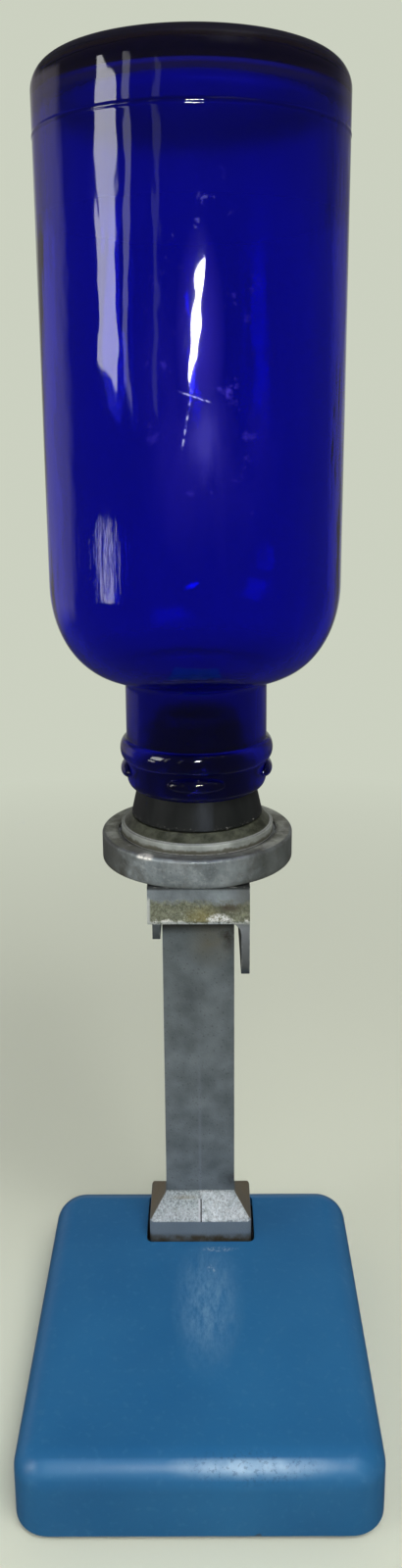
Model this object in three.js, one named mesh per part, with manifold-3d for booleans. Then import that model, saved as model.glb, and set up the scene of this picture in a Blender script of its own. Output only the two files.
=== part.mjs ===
import * as THREE from 'three';
import { mergeVertices } from 'three/addons/utils/BufferGeometryUtils.js';
import Module from 'manifold-3d';

const wasm = await Module();
wasm.setup();

// Millimetres. X to the right, Y to the back, Z up from the table; the bottle axis is x = y = 0.

// Fits
const FIT = 0.3; // gap between pieces that rest on each other
const RUN = 0.35; // gap round pieces that turn or slide
const CUT = 1; // how far a cutting tool overshoots a face

// Base
const BASE_W = 101.4;
const BASE_D = 116;
const BASE_REACH = 86; // bottle axis to the front face
const BASE_TOP = 24;
const BASE_CORNER = 10;
const BASE_EDGE = 8; // radius of the rounded top edge
const BASE_WALL = 3;
const PAD_T = 1.4;
const PAD_INSET = 2;
const BOTTOM_PLATE_T = 2;
const BOSS_R = 4.5;
const BOSS_INSET = 12; // outer faces to the boss axis
const PLATE_SCREW_R = 1.6;
const PLATE_SCREW_HEAD_R = 3.4;
const PLATE_SCREW_L = 12;

// Post and its flared foot
const POST_W = 22.9;
const POST_D = 10;
const POST_FRONT = 7; // bottle axis to the front of the post
const POST_EDGE = 0.8;
const FOOT_OUT = 5.6; // how far the foot stands out all round
const FOOT_CORNER = 2;
const FOOT_BAND_H = 7; // upright band above the base
const FOOT_SLOPE_H = 7.75;
const FOOT_GAP = 1.1; // dark gap round the foot in the base
const MOULD_STEP = 0.35; // left half of the foot's front slope lies this much lower
const MOULD_STEP_L = 6.9; // length of that step up the slope
const BOLT_R = 2.5;
const BOLT_X = 11; // bolt axes left and right of the post middle
const BOLT_HEAD_R = 4.6;
const BOLT_HEAD_H = 4;
const BOLT_GRIP = 9; // bolt length inside the foot

// Head
const HEAD_R = 28.7;
const HEAD_Z = 163.6; // underside above the table
const HEAD_H = 8.4;
const HEAD_ROUND_TOP = 0.9;
const HEAD_ROUND_LOW = 0.5;
const HEAD_BOSS_R = 17;
const RING_R = 22.9;
const RING_STEP = 2.5; // upright wall of the ring above the head
const RING_CONE = 2.4; // rise of the cone above that wall
const GROOVE_W = 0.8;
const GROOVE_DEPTH = 0.8;
const HEAD_SCREW_R = 1.5;
const HEAD_SCREW_HEAD_R = 2.6;
const HEAD_SCREW_HEAD_H = 2;
const HEAD_SCREW_SINK = 2; // head lies this far below the boss top
const HEAD_SCREW_X = 6.5;
const HEAD_SCREW_L = 14; // length inside the post

// Stopper and feed tube
const STOPPER_R = 19.6;
const STOPPER_H = 28.8;
const STOPPER_TAPER = 0.212; // radius lost per millimetre of height
const STOPPER_ROUND = 1;
const TUBE_R = 10;
const TUBE_BORE = 8.5;
const TUBE_GRIP = 2.2; // thread inside the head
const TUBE_FLANGE_R = 12.8;
const TUBE_FLANGE_T = 2;

// Bottle, standing on its mouth
const LIP_Z = 185.8;
const BOTTLE_H = 194.4;
const BODY_R = 41.65;
const GLASS_T = 3.4;
const FLOOR_T = 7;
const HEEL_R = 7;
const PUNT = 3; // hollow of the bottle floor
const PUNT_R = 29;
const SHOULDER_Z = 246.5; // straight body begins
const SHOULDER_RUN = 19.65;
const SHOULDER_RISE = 27;
const NECK_R = 20.8;
const NECK_T = 2.9;
const NECK_FILLET = 3;
const MOUTH_FIT = 0.4; // glass lip round the stopper
const LIP_ROUND = 2.4; // how far the lip edge draws in
const LIP_RISE = 3.4; // height of that rounding
const SEAM_Z = 362.6; // ring where the mould was parted
const SEAM_OUT = 0.15;
const SEAM_HALF = 0.7;
const BEAD_Z = 197.7;
const BEAD_R = 22.7;
const BEAD_HALF = 3.3;
const LUG_Z = 191.4;
const LUG_OUT = 22.6;
const LUG_HALF_W = 8.3;
const LUG_HALF_H = 2.6;
const LUG_DEEP = 2.9;
const LUG_COUNT = 4;

// Trigger yoke
const PIVOT_Z = 141;
const PIVOT_R = 2;
const SWING = THREE.MathUtils.degToRad(16);
const CHEEK_T = 2.4;
const RIGHT_GAP = 1.25; // wider gap right of the post, with the washer
const YOKE_FRONT = 26; // bottle axis to the plate front
const YOKE_PLATE_T = 2.6;
const YOKE_TOP_GAP = 0.4;
const LIP_EDGE_Z = 152; // lower edge of the front plate
const THUMB_H = 6; // flared strip for the thumb
const THUMB_OUT = 1;
const WEB_R = 3.5; // fillet under the plate into the right cheek
const CHEEK_Z = 134.6; // lower edge of the cheeks
const CHEEK_ROUND = 4;
const EAR_FRONT = -0.6; // front edge of the left ear
const EAR_ROUND = 1.2;
const YOKE_BACK = 21;
const YOKE_BACK_Z = 150; // height of the cheeks at the back
const BRIDGE_T = 2.4;
const BRIDGE_H = 8.4;
const FINGER_R = 1.6;
const FINGER_NECK = 2.2;
const WASHER_R = 4.5;

// Dose slide, its channel and the outlet
const OUTLET_T = 1.2;
const SLIDE_T = 4.8;
const SLIDE_HALF = 10.7;
const SLIDE_MARGIN = 0.8; // slide beyond the outlet at rest
const POCKET_W = 18;
const POCKET_L = 6.8;
const POCKET_Y = -4;
const ARM_IN = 9.2;
const ARM_OUT = 15.2;
const ARM_FRONT = 3;
const ARM_BACK = 15.5;
const NOTCH_IN = 11.2;
const ISLAND_FRONT = 7.6; // solid head over the post begins
const OUTLET_R = 26.4;
const OUTLET_HALF = 17;
const OUTLET_BACK = 1;
const SPOUT_WALL = 1.4;
const SPOUT_DROP = 9.6;
const SPOUT_END_HALF = 6.5;
const OUTLET_SCREW_R = 1.3;
const OUTLET_SCREW_HEAD_R = 2.3;
const OUTLET_SCREW_L = 4.2;
const OUTLET_SCREW_X = 14;
const OUTLET_SCREW_Y = [-17, -8];

// Return spring
const SPRING_SCREW_R = 1.5;
const SPRING_SCREW_HEAD_R = 3;
const SPRING_SCREW_HEAD_T = 1.6;
const SPRING_SCREW_NECK = 3.6; // shank between head and seat
const SPRING_SCREW_GRIP = 6;
const SPRING_LOW_Z = 107;
const SPRING_TOP_Z = 138.6;
const WIRE_R = 0.45;
const COIL_R = 3;
const COIL_TURNS = 12;
const CURL_STEPS = 8;
const WIRE_SIDES = 5;
const HOOK_RISE = 4.6; // screw axis to the first coil
const HOOK_WRAP = 250; // degrees of wire round the screw
const HOOK_LEAVE = 20; // degrees where the wire leaves for the coil
const HOOK_STEPS = 10;

// Facets of rounds and curves
const TURN_FINE = 40;
const TURN_MID = 28;
const TURN_SMALL = 12;
const HEX_SIDES = 6;
const CORNER_STEPS = 4;
const EDGE_STEPS = 6;
const GLASS_STEPS = 6;
const SHOULDER_STEPS = 8;
const LUG_STEPS_ROUND = 10;
const LUG_STEPS_UP = 6;
const WELD = 1e-4;

// Levels and places that follow from the sizes
const baseFront = -BASE_REACH;
const baseBack = BASE_D - BASE_REACH;
const baseMid = (baseFront + baseBack) / 2;
const shellLow = PAD_T + FIT;
const bottomPlateTop = shellLow + BOTTOM_PLATE_T;
const ballastLow = bottomPlateTop + FIT;
const ceiling = BASE_TOP - BASE_WALL;
const ballastTop = ceiling - FIT;
const footBandTop = BASE_TOP + FOOT_BAND_H;
const footTop = footBandTop + FOOT_SLOPE_H;
const postMid = POST_FRONT + POST_D / 2;
const postBack = POST_FRONT + POST_D;
const postTop = HEAD_Z - FIT;
const headTop = HEAD_Z + HEAD_H;
const ringSeat = headTop - GROOVE_DEPTH;
const ringTop = headTop + RING_STEP + RING_CONE;
const stopperLow = ringTop + FIT;
const stopperTop = stopperLow + STOPPER_H;
const tubeSeat = ringTop - TUBE_GRIP;
const channelLow = HEAD_Z + OUTLET_T;
const slideLow = channelLow + FIT;
const slideTop = slideLow + SLIDE_T;
const channelTop = slideTop + FIT;
const fingerZ = (slideLow + slideTop) / 2;
const stroke = (fingerZ - PIVOT_Z) * Math.sin(SWING);
const outletY = POCKET_Y - stroke;
const slideFront = outletY - POCKET_L / 2 - SLIDE_MARGIN;
const yokeLeft = -(POST_W / 2 + RUN + CHEEK_T);
const yokeRight = POST_W / 2 + RIGHT_GAP + CHEEK_T;
const yokeTop = HEAD_Z - YOKE_TOP_GAP;
const springY = YOKE_BACK + SPRING_SCREW_NECK / 2;
const bottleTop = LIP_Z + BOTTLE_H;

// Solid from a closed surface, turned to face outwards
function solid(geometry) {
  const plain = geometry.index ? geometry.toNonIndexed() : geometry.clone();
  plain.deleteAttribute('normal');
  plain.deleteAttribute('uv');
  const merged = mergeVertices(plain, WELD);
  const points = merged.attributes.position.array;
  const faces = [];
  for (let i = 0; i < merged.index.count; i += 3) {
    const [a, b, c] = [0, 1, 2].map((k) => merged.index.getX(i + k));
    if (a !== b && b !== c && c !== a) faces.push(a, b, c);
  }
  const build = (list) => new wasm.Manifold(new wasm.Mesh({
    numProp: 3,
    vertProperties: new Float32Array(points),
    triVerts: new Uint32Array(list),
  }));
  const made = build(faces);
  if (made.volume() > 0) return made;
  return build(faces.reverse());
}

function node(name, body, colour, roughness, metalness) {
  const mesh = body.getMesh();
  const geometry = new THREE.BufferGeometry();
  geometry.setAttribute('position', new THREE.BufferAttribute(new Float32Array(mesh.vertProperties), 3));
  geometry.setIndex(new THREE.BufferAttribute(new Uint32Array(mesh.triVerts), 1));
  geometry.computeVertexNormals();
  const material = new THREE.MeshStandardMaterial({ color: colour, roughness, metalness });
  const made = new THREE.Mesh(geometry, material);
  made.name = name;
  return made;
}

const joined = (list) => list.reduce((sum, body) => sum.add(body));
const carved = (body, cuts) => cuts.reduce((rest, cut) => rest.subtract(cut), body);

function box(x0, x1, y0, y1, z0, z1) {
  const made = new THREE.BoxGeometry(x1 - x0, y1 - y0, z1 - z0);
  made.translate((x0 + x1) / 2, (y0 + y1) / 2, (z0 + z1) / 2);
  return solid(made);
}

// Round bars and cones along each axis
function barZ(x, y, z0, z1, r0, r1 = r0, sides = TURN_SMALL) {
  const made = new THREE.CylinderGeometry(r1, r0, z1 - z0, sides);
  made.rotateX(Math.PI / 2);
  made.translate(x, y, (z0 + z1) / 2);
  return solid(made);
}

function barX(x0, x1, y, z, r) {
  const made = new THREE.CylinderGeometry(r, r, x1 - x0, TURN_SMALL);
  made.rotateZ(Math.PI / 2);
  made.translate((x0 + x1) / 2, y, z);
  return solid(made);
}

function barY(x, y0, y1, z, r) {
  const made = new THREE.CylinderGeometry(r, r, y1 - y0, TURN_SMALL);
  made.translate(x, (y0 + y1) / 2, z);
  return solid(made);
}

// Turned body from a profile of [radius, height] pairs
function turned(profile, sides) {
  const made = new THREE.LatheGeometry(profile.map(([r, z]) => new THREE.Vector2(r, z)), sides);
  made.rotateX(Math.PI / 2);
  return solid(made);
}

// Quarter-round between two heights, as [radius, height] pairs
function arc(r, z, radius, from, to, steps) {
  return Array.from({ length: steps + 1 }, (_, k) => {
    const a = from + ((to - from) * k) / steps;
    return [r + radius * Math.cos(a), z + radius * Math.sin(a)];
  });
}

// Outline of a rounded rectangle at one height
function ring(halfX, halfY, corner, midY, z) {
  const r = Math.min(corner, halfX, halfY);
  const points = [];
  [[1, 1], [-1, 1], [-1, -1], [1, -1]].forEach(([sx, sy], quarter) => {
    for (let k = 0; k <= CORNER_STEPS; k += 1) {
      const a = (quarter + k / CORNER_STEPS) * (Math.PI / 2);
      const x = sx * (halfX - r) + r * Math.cos(a);
      const y = midY + sy * (halfY - r) + r * Math.sin(a);
      points.push(new THREE.Vector3(x, y, z));
    }
  });
  return points;
}

// Outline of a circle with as many points as a rounded rectangle
function circle(r, midY, z) {
  const points = [];
  for (let quarter = 0; quarter < 4; quarter += 1) {
    for (let k = 0; k <= CORNER_STEPS; k += 1) {
      const a = ((quarter + (k + 0.5) / (CORNER_STEPS + 1)) * Math.PI) / 2;
      points.push(new THREE.Vector3(r * Math.cos(a), midY + r * Math.sin(a), z));
    }
  }
  return points;
}

// Body through a stack of outlines, closed by flat ends
function loft(rings) {
  const count = rings[0].length;
  const points = rings.flat().flatMap((p) => [p.x, p.y, p.z]);
  const faces = [];
  for (let level = 0; level < rings.length - 1; level += 1) {
    for (let k = 0; k < count; k += 1) {
      const a = level * count + k;
      const b = level * count + ((k + 1) % count);
      faces.push(a, b, b + count, a, b + count, a + count);
    }
  }
  const last = (rings.length - 1) * count;
  for (let k = 1; k < count - 1; k += 1) {
    faces.push(0, k + 1, k, last, last + k, last + k + 1);
  }
  const made = new THREE.BufferGeometry();
  made.setAttribute('position', new THREE.Float32BufferAttribute(points, 3));
  made.setIndex(faces);
  return solid(made);
}

const sideShape = (points) => new THREE.Shape(points.map(([y, z]) => new THREE.Vector2(y, z)));

// Side outline of (y, z) points, extruded from x0 to x1
function sidePlate(shape, x0, x1) {
  const made = new THREE.ExtrudeGeometry(shape, { depth: x1 - x0, bevelEnabled: false });
  made.translate(0, 0, x0);
  made.applyMatrix4(new THREE.Matrix4().set(0, 0, 1, 0, 1, 0, 0, 0, 0, 1, 0, 0, 0, 0, 0, 1));
  return solid(made);
}

// Flat outline of (x, y) points, extruded from z0 to z1
function flatPlate(points, z0, z1) {
  const shape = new THREE.Shape(points.map(([x, y]) => new THREE.Vector2(x, y)));
  const made = new THREE.ExtrudeGeometry(shape, { depth: z1 - z0, bevelEnabled: false });
  made.translate(0, 0, z0);
  return solid(made);
}

// Body with the plan and rounded top edge of the base, set in from its faces
function baseBlock(inset, z0, z1, edge) {
  const level = (extra, z) => {
    const gone = inset + extra;
    return ring(BASE_W / 2 - gone, BASE_D / 2 - gone, Math.max(BASE_CORNER - gone, FIT), baseMid, z);
  };
  const rings = [level(0, z0)];
  for (let k = 0; k <= EDGE_STEPS; k += 1) {
    const a = ((k / EDGE_STEPS) * Math.PI) / 2;
    rings.push(level(edge * (1 - Math.cos(a)), z1 - edge + edge * Math.sin(a)));
  }
  return loft(rings);
}

function bossPlaces() {
  const x = BASE_W / 2 - BOSS_INSET;
  const front = baseFront + BOSS_INSET;
  const back = baseBack - BOSS_INSET;
  return [
    ['front_left', -x, front],
    ['front_right', x, front],
    ['back_left', -x, back],
    ['back_right', x, back],
  ];
}

const boltPlaces = () => [['left', -BOLT_X], ['right', BOLT_X]];

function baseShell() {
  const walls = baseBlock(0, shellLow, BASE_TOP, BASE_EDGE)
    .subtract(baseBlock(BASE_WALL, shellLow - CUT, ceiling, BASE_EDGE - BASE_WALL));
  const bosses = bossPlaces().map(([, x, y]) => barZ(x, y, ballastLow, ceiling + FIT, BOSS_R));
  const tapped = bossPlaces().map(([, x, y]) => (
    barZ(x, y, ballastLow - CUT, shellLow + PLATE_SCREW_L + CUT, PLATE_SCREW_R + FIT)));
  const around = FOOT_OUT + FOOT_GAP;
  const hole = loft([ceiling - CUT, BASE_TOP + CUT].map((z) => (
    ring(POST_W / 2 + around, POST_D / 2 + around, FOOT_CORNER, postMid, z))));
  return carved(joined([walls, ...bosses]), [hole, ...tapped]);
}

function ballastBlock() {
  const block = baseBlock(BASE_WALL + FIT, ballastLow, ballastTop, BASE_EDGE - BASE_WALL - FIT);
  const round = bossPlaces().map(([, x, y]) => barZ(x, y, ballastLow - CUT, ballastTop + CUT, BOSS_R + FIT));
  const seat = ballastLow + FIT + BOLT_HEAD_H;
  const heads = boltPlaces().map(([, x]) => (
    barZ(x, postMid, ballastLow - CUT, seat + FIT, BOLT_HEAD_R + FIT, BOLT_HEAD_R + FIT)));
  const shanks = boltPlaces().map(([, x]) => (
    barZ(x, postMid, ballastLow - CUT, ballastTop + CUT, BOLT_R + FIT)));
  return carved(block, [...round, ...heads, ...shanks]);
}

function footBolt(x) {
  const low = ballastLow + FIT;
  const head = barZ(x, postMid, low, low + BOLT_HEAD_H, BOLT_HEAD_R, BOLT_HEAD_R, HEX_SIDES);
  return head.add(barZ(x, postMid, low + FIT, ceiling + BOLT_GRIP, BOLT_R));
}

function bottomPlate() {
  const inset = BASE_WALL + FIT;
  const corner = BASE_CORNER - inset;
  const plate = loft([shellLow, bottomPlateTop].map((z) => (
    ring(BASE_W / 2 - inset, BASE_D / 2 - inset, corner, baseMid, z))));
  const sinks = bossPlaces().flatMap(([, x, y]) => [
    barZ(x, y, shellLow - CUT, bottomPlateTop + CUT, PLATE_SCREW_R + FIT),
    barZ(x, y, shellLow - FIT, bottomPlateTop, PLATE_SCREW_HEAD_R + 2 * FIT, PLATE_SCREW_R + FIT),
  ]);
  return carved(plate, sinks);
}

function plateScrew(x, y) {
  const head = barZ(x, y, shellLow, bottomPlateTop - FIT, PLATE_SCREW_HEAD_R, PLATE_SCREW_R);
  return head.add(barZ(x, y, shellLow + FIT, shellLow + PLATE_SCREW_L, PLATE_SCREW_R));
}

function feltPad() {
  return loft([0, PAD_T].map((z) => (
    ring(BASE_W / 2 - PAD_INSET, BASE_D / 2 - PAD_INSET, BASE_CORNER - PAD_INSET, baseMid, z))));
}

// Slab that leaves the left half of the foot's front slope a little lower, where the mould halves met
function mouldStep() {
  const long = Math.hypot(FOOT_OUT, FOOT_SLOPE_H);
  const up = [FOOT_OUT / long, FOOT_SLOPE_H / long];
  const out = [-FOOT_SLOPE_H / long, FOOT_OUT / long];
  const at = (along, away) => [
    POST_FRONT - FOOT_OUT + up[0] * along + out[0] * away,
    footBandTop + up[1] * along + out[1] * away,
  ];
  const outline = [
    at(-CUT, CUT),
    at(-CUT, -MOULD_STEP),
    at(MOULD_STEP_L, -MOULD_STEP),
    at(MOULD_STEP_L, CUT),
  ];
  return sidePlate(sideShape(outline), -(POST_W / 2 + FOOT_OUT + CUT), 0);
}

// Flat bar with a flared foot, drilled for the pivot, the head screws, the bolts and the spring
function post() {
  const level = (out, corner, z) => ring(POST_W / 2 + out, POST_D / 2 + out, corner, postMid, z);
  const bar = loft([
    level(FOOT_OUT, FOOT_CORNER, ceiling),
    level(FOOT_OUT, FOOT_CORNER, footBandTop),
    level(0, POST_EDGE, footTop),
    level(0, POST_EDGE, postTop),
  ]);
  const pivot = barX(-POST_W, POST_W, postMid, PIVOT_Z, PIVOT_R + RUN);
  const screws = [-HEAD_SCREW_X, HEAD_SCREW_X].map((x) => (
    barZ(x, postMid, postTop - HEAD_SCREW_L - CUT, postTop + CUT, HEAD_SCREW_R + FIT)));
  const bolts = boltPlaces().map(([, x]) => (
    barZ(x, postMid, ceiling - CUT, ceiling + BOLT_GRIP + CUT, BOLT_R + FIT)));
  const anchorEnd = postBack - SPRING_SCREW_GRIP - CUT;
  const anchor = barY(0, anchorEnd, postBack + CUT, SPRING_LOW_Z, SPRING_SCREW_R + FIT);
  return carved(bar, [mouldStep(), pivot, anchor, ...screws, ...bolts]);
}

const headScrewPlaces = () => [['left', -HEAD_SCREW_X], ['right', HEAD_SCREW_X]];

function outletScrewPlaces() {
  const rows = OUTLET_SCREW_Y.map((y, k) => [['front', 'rear'][k], y]);
  const sides = [['left', -OUTLET_SCREW_X], ['right', OUTLET_SCREW_X]];
  return rows.flatMap(([row, y]) => sides.map(([side, x]) => [`${row}_${side}`, x, y]));
}

// Round casting with a boss for the tube, a recess for the ring and the slide channel below
function headDisc() {
  const half = Math.PI / 2;
  const body = turned([
    [0, HEAD_Z],
    ...arc(HEAD_R - HEAD_ROUND_LOW, HEAD_Z + HEAD_ROUND_LOW, HEAD_ROUND_LOW, -half, 0, CORNER_STEPS),
    ...arc(HEAD_R - HEAD_ROUND_TOP, headTop - HEAD_ROUND_TOP, HEAD_ROUND_TOP, 0, half, CORNER_STEPS),
    [RING_R + GROOVE_W, headTop],
    [RING_R + GROOVE_W, ringSeat],
    [HEAD_BOSS_R, ringSeat],
    [HEAD_BOSS_R, ringTop],
    [0, ringTop],
  ], TURN_FINE);
  const bore = barZ(0, 0, tubeSeat, ringTop + CUT, TUBE_R + FIT, TUBE_R + FIT, TURN_MID);
  const funnel = loft([
    circle(TUBE_BORE, 0, tubeSeat + FIT),
    circle(TUBE_BORE, 0, tubeSeat),
    ring(POCKET_W / 2, POCKET_L / 2, FIT, POCKET_Y, channelTop),
    ring(POCKET_W / 2, POCKET_L / 2, FIT, POCKET_Y, channelTop - FIT),
  ].reverse());
  const side = SLIDE_HALF + FIT;
  const channel = box(-side, side, slideFront - stroke - 2 * FIT, ISLAND_FRONT, HEAD_Z - CUT, channelTop);
  const armCut = (sign) => {
    const xs = [sign * (ARM_IN - FIT), sign * (ARM_OUT + FIT)].sort((a, b) => a - b);
    return box(xs[0], xs[1], ARM_FRONT - stroke - 2 * FIT, ARM_BACK + FIT, HEAD_Z - CUT, channelTop);
  };
  const screwSeat = ringTop - HEAD_SCREW_SINK - HEAD_SCREW_HEAD_H - FIT;
  const screws = headScrewPlaces().flatMap(([, x]) => [
    barZ(x, postMid, HEAD_Z - CUT, ringTop, HEAD_SCREW_R + FIT),
    barZ(x, postMid, screwSeat, ringTop + CUT, HEAD_SCREW_HEAD_R + FIT),
  ]);
  const tapped = outletScrewPlaces().map(([, x, y]) => (
    barZ(x, y, HEAD_Z - CUT, HEAD_Z + OUTLET_SCREW_L + FIT, OUTLET_SCREW_R + FIT)));
  const arms = [armCut(-1), armCut(1)];
  return carved(body, [bore, funnel, channel, ...arms, outletBlank(FIT), ...screws, ...tapped]);
}

// Outline of the outlet plate, grown for its recess
function outletBlank(grow) {
  const low = HEAD_Z - (grow ? CUT : 0);
  const disc = barZ(0, 0, low, channelLow, OUTLET_R + grow, OUTLET_R + grow, TURN_FINE);
  const half = OUTLET_HALF + grow;
  return disc.intersect(box(-half, half, -HEAD_R, OUTLET_BACK + grow, HEAD_Z - 2 * CUT, channelLow + CUT));
}

function outletPlate() {
  const low = HEAD_Z - SPOUT_DROP;
  const half = POCKET_W / 2;
  const tube = (wall, z0, z1) => loft([
    ring(SPOUT_END_HALF + wall, POCKET_L / 2 + wall, wall + FIT, outletY, z0),
    ring(half + wall, POCKET_L / 2 + wall, wall + FIT, outletY, z1),
  ]);
  const sinks = outletScrewPlaces().flatMap(([, x, y]) => [
    barZ(x, y, HEAD_Z - CUT, channelLow + CUT, OUTLET_SCREW_R + FIT),
    barZ(x, y, HEAD_Z - FIT, channelLow, OUTLET_SCREW_HEAD_R + 2 * FIT, OUTLET_SCREW_R + FIT),
  ]);
  const spout = tube(SPOUT_WALL, low, HEAD_Z + FIT);
  const way = tube(0, low, HEAD_Z + FIT)
    .add(box(-half, half, outletY - POCKET_L / 2, outletY + POCKET_L / 2, HEAD_Z, channelLow + CUT))
    .add(loft([low - CUT, low + FIT].map((z) => ring(SPOUT_END_HALF, POCKET_L / 2, FIT, outletY, z))));
  return carved(outletBlank(0).add(spout), [way, ...sinks]);
}

function outletScrew(x, y) {
  const head = barZ(x, y, HEAD_Z, channelLow - FIT, OUTLET_SCREW_HEAD_R, OUTLET_SCREW_R);
  return head.add(barZ(x, y, HEAD_Z + FIT, HEAD_Z + OUTLET_SCREW_L, OUTLET_SCREW_R));
}

function headScrew(x) {
  const top = ringTop - HEAD_SCREW_SINK;
  const head = barZ(x, postMid, top - HEAD_SCREW_HEAD_H, top, HEAD_SCREW_HEAD_R);
  return head.add(barZ(x, postMid, postTop - HEAD_SCREW_L, top - FIT, HEAD_SCREW_R));
}

function seatRing() {
  const inner = HEAD_BOSS_R + FIT;
  const low = ringSeat + FIT;
  const step = headTop + RING_STEP;
  return turned([
    [inner, low],
    [RING_R, low],
    ...arc(RING_R - FIT, step - FIT, FIT, 0, Math.PI / 2, CORNER_STEPS / 2),
    [STOPPER_R, ringTop],
    [inner, ringTop],
    [inner, low],
  ], TURN_FINE);
}

const stopperRadius = (z) => STOPPER_R - STOPPER_TAPER * (z - stopperLow);

function stopper() {
  const bore = TUBE_R + FIT;
  const topR = stopperRadius(stopperTop);
  return turned([
    [bore, stopperLow],
    [STOPPER_R - STOPPER_ROUND / 2, stopperLow],
    [STOPPER_R, stopperLow + STOPPER_ROUND / 2],
    [topR, stopperTop - STOPPER_ROUND],
    [topR - STOPPER_ROUND, stopperTop],
    [bore, stopperTop],
    [bore, stopperLow],
  ], TURN_MID);
}

function feedTube() {
  const low = tubeSeat + FIT;
  const collar = stopperTop + FIT;
  const top = collar + TUBE_FLANGE_T;
  return turned([
    [TUBE_BORE, low],
    [TUBE_R, low],
    [TUBE_R, collar],
    [TUBE_FLANGE_R, collar],
    [TUBE_FLANGE_R - FIT, top],
    [TUBE_BORE, top],
    [TUBE_BORE, low],
  ], TURN_MID);
}

// Quarter ellipse of the shoulder from the body down towards the neck
function shoulderCurve(centreR, run, rise, steps) {
  return Array.from({ length: steps + 1 }, (_, k) => {
    const a = ((k / steps) * Math.PI) / 2;
    return [centreR + run * Math.cos(a), SHOULDER_Z - rise * Math.sin(a)];
  });
}

// Rounded ring that stands out of an upright wall
function bulge(r, z, out, halfHeight, steps) {
  return arc(0, 0, 1, -Math.PI / 2, Math.PI / 2, steps).map(([x, y]) => [r + out * x, z + halfHeight * y]);
}

// Rounded lower edge of the lip, higher than it is deep
function lipCurve() {
  const quarter = arc(0, 0, 1, -Math.PI / 2, 0, CORNER_STEPS);
  return quarter.map(([x, y]) => [NECK_R - LIP_ROUND * (1 - x), LIP_Z + LIP_RISE * (1 + y)]);
}

// Glass profile from the lip outside round the bottle to the lip inside
function bottleProfile() {
  const half = Math.PI / 2;
  const centreR = BODY_R - SHOULDER_RUN;
  const neckTop = SHOULDER_Z - SHOULDER_RISE;
  const mouth = stopperRadius(LIP_Z) + MOUTH_FIT;
  const innerNeck = NECK_R - NECK_T;
  const innerBody = BODY_R - GLASS_T;
  const outer = [
    [mouth, LIP_Z],
    ...lipCurve(),
    ...bulge(NECK_R, BEAD_Z, BEAD_R - NECK_R, BEAD_HALF, GLASS_STEPS),
    ...arc(NECK_R + NECK_FILLET, neckTop - NECK_FILLET, NECK_FILLET, Math.PI, half, CORNER_STEPS),
    ...shoulderCurve(centreR, SHOULDER_RUN, SHOULDER_RISE, SHOULDER_STEPS).reverse().slice(1),
    ...bulge(BODY_R, SEAM_Z, SEAM_OUT, SEAM_HALF, CORNER_STEPS / 2),
    ...arc(BODY_R - HEEL_R, bottleTop - HEEL_R, HEEL_R, 0, half, GLASS_STEPS),
    [PUNT_R, bottleTop],
    [PUNT_R - PUNT, bottleTop - PUNT / 2],
    [0, bottleTop - PUNT],
  ];
  const inner = [
    [0, bottleTop - FLOOR_T],
    ...arc(innerBody - HEEL_R, bottleTop - FLOOR_T - HEEL_R, HEEL_R, half, 0, GLASS_STEPS),
    ...shoulderCurve(centreR, SHOULDER_RUN - GLASS_T, SHOULDER_RISE - GLASS_T, SHOULDER_STEPS),
    [innerNeck, neckTop - NECK_FILLET],
    [innerNeck, LIP_Z + LIP_RISE],
    [mouth, LIP_Z + LIP_RISE / 3],
  ];
  return [...outer, ...inner, [mouth, LIP_Z]];
}

// Low cushion-shaped lug on the finish of the neck
function lug(angle) {
  const made = new THREE.SphereGeometry(1, LUG_STEPS_ROUND, LUG_STEPS_UP);
  made.scale(LUG_HALF_W, LUG_DEEP, LUG_HALF_H);
  made.translate(0, -(LUG_OUT - LUG_DEEP), LUG_Z);
  made.rotateZ(angle);
  return solid(made);
}

function bottle() {
  const glass = turned(bottleProfile(), TURN_FINE);
  const core = barZ(0, 0, LIP_Z - CUT, BEAD_Z, NECK_R - NECK_T / 2, NECK_R - NECK_T / 2, TURN_FINE);
  const turn = (2 * Math.PI) / LUG_COUNT;
  const lugs = Array.from({ length: LUG_COUNT }, (_, k) => lug(k * turn).subtract(core));
  return joined([glass, ...lugs]);
}

// Back part of both cheeks, from the lower edge up to the top
function cheekBack() {
  const low = CHEEK_Z + CHEEK_ROUND;
  return [
    ...arc(YOKE_BACK - CHEEK_ROUND, low, CHEEK_ROUND, -Math.PI / 2, 0, CORNER_STEPS),
    [YOKE_BACK, YOKE_BACK_Z],
    [postMid + FINGER_R, yokeTop],
  ];
}

function rightCheek() {
  const front = -YOKE_FRONT;
  const low = CHEEK_Z + CHEEK_ROUND;
  const nose = arc(front + CHEEK_ROUND, low, CHEEK_ROUND, Math.PI, 1.5 * Math.PI, CORNER_STEPS);
  const outline = [[front, yokeTop], ...nose, ...cheekBack()];
  return sidePlate(sideShape(outline), yokeRight - CHEEK_T, yokeRight);
}

function leftCheek() {
  const front = -YOKE_FRONT;
  const low = CHEEK_Z + EAR_ROUND;
  const ear = arc(EAR_FRONT + EAR_ROUND, low, EAR_ROUND, Math.PI, 1.5 * Math.PI, CORNER_STEPS);
  const high = LIP_EDGE_Z - CHEEK_ROUND;
  const inside = arc(EAR_FRONT - CHEEK_ROUND, high, CHEEK_ROUND, Math.PI / 2, 0, CORNER_STEPS);
  const outline = [[front, yokeTop], [front, LIP_EDGE_Z], ...inside, ...ear, ...cheekBack()];
  return sidePlate(sideShape(outline), yokeLeft, yokeLeft + CHEEK_T);
}

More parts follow.
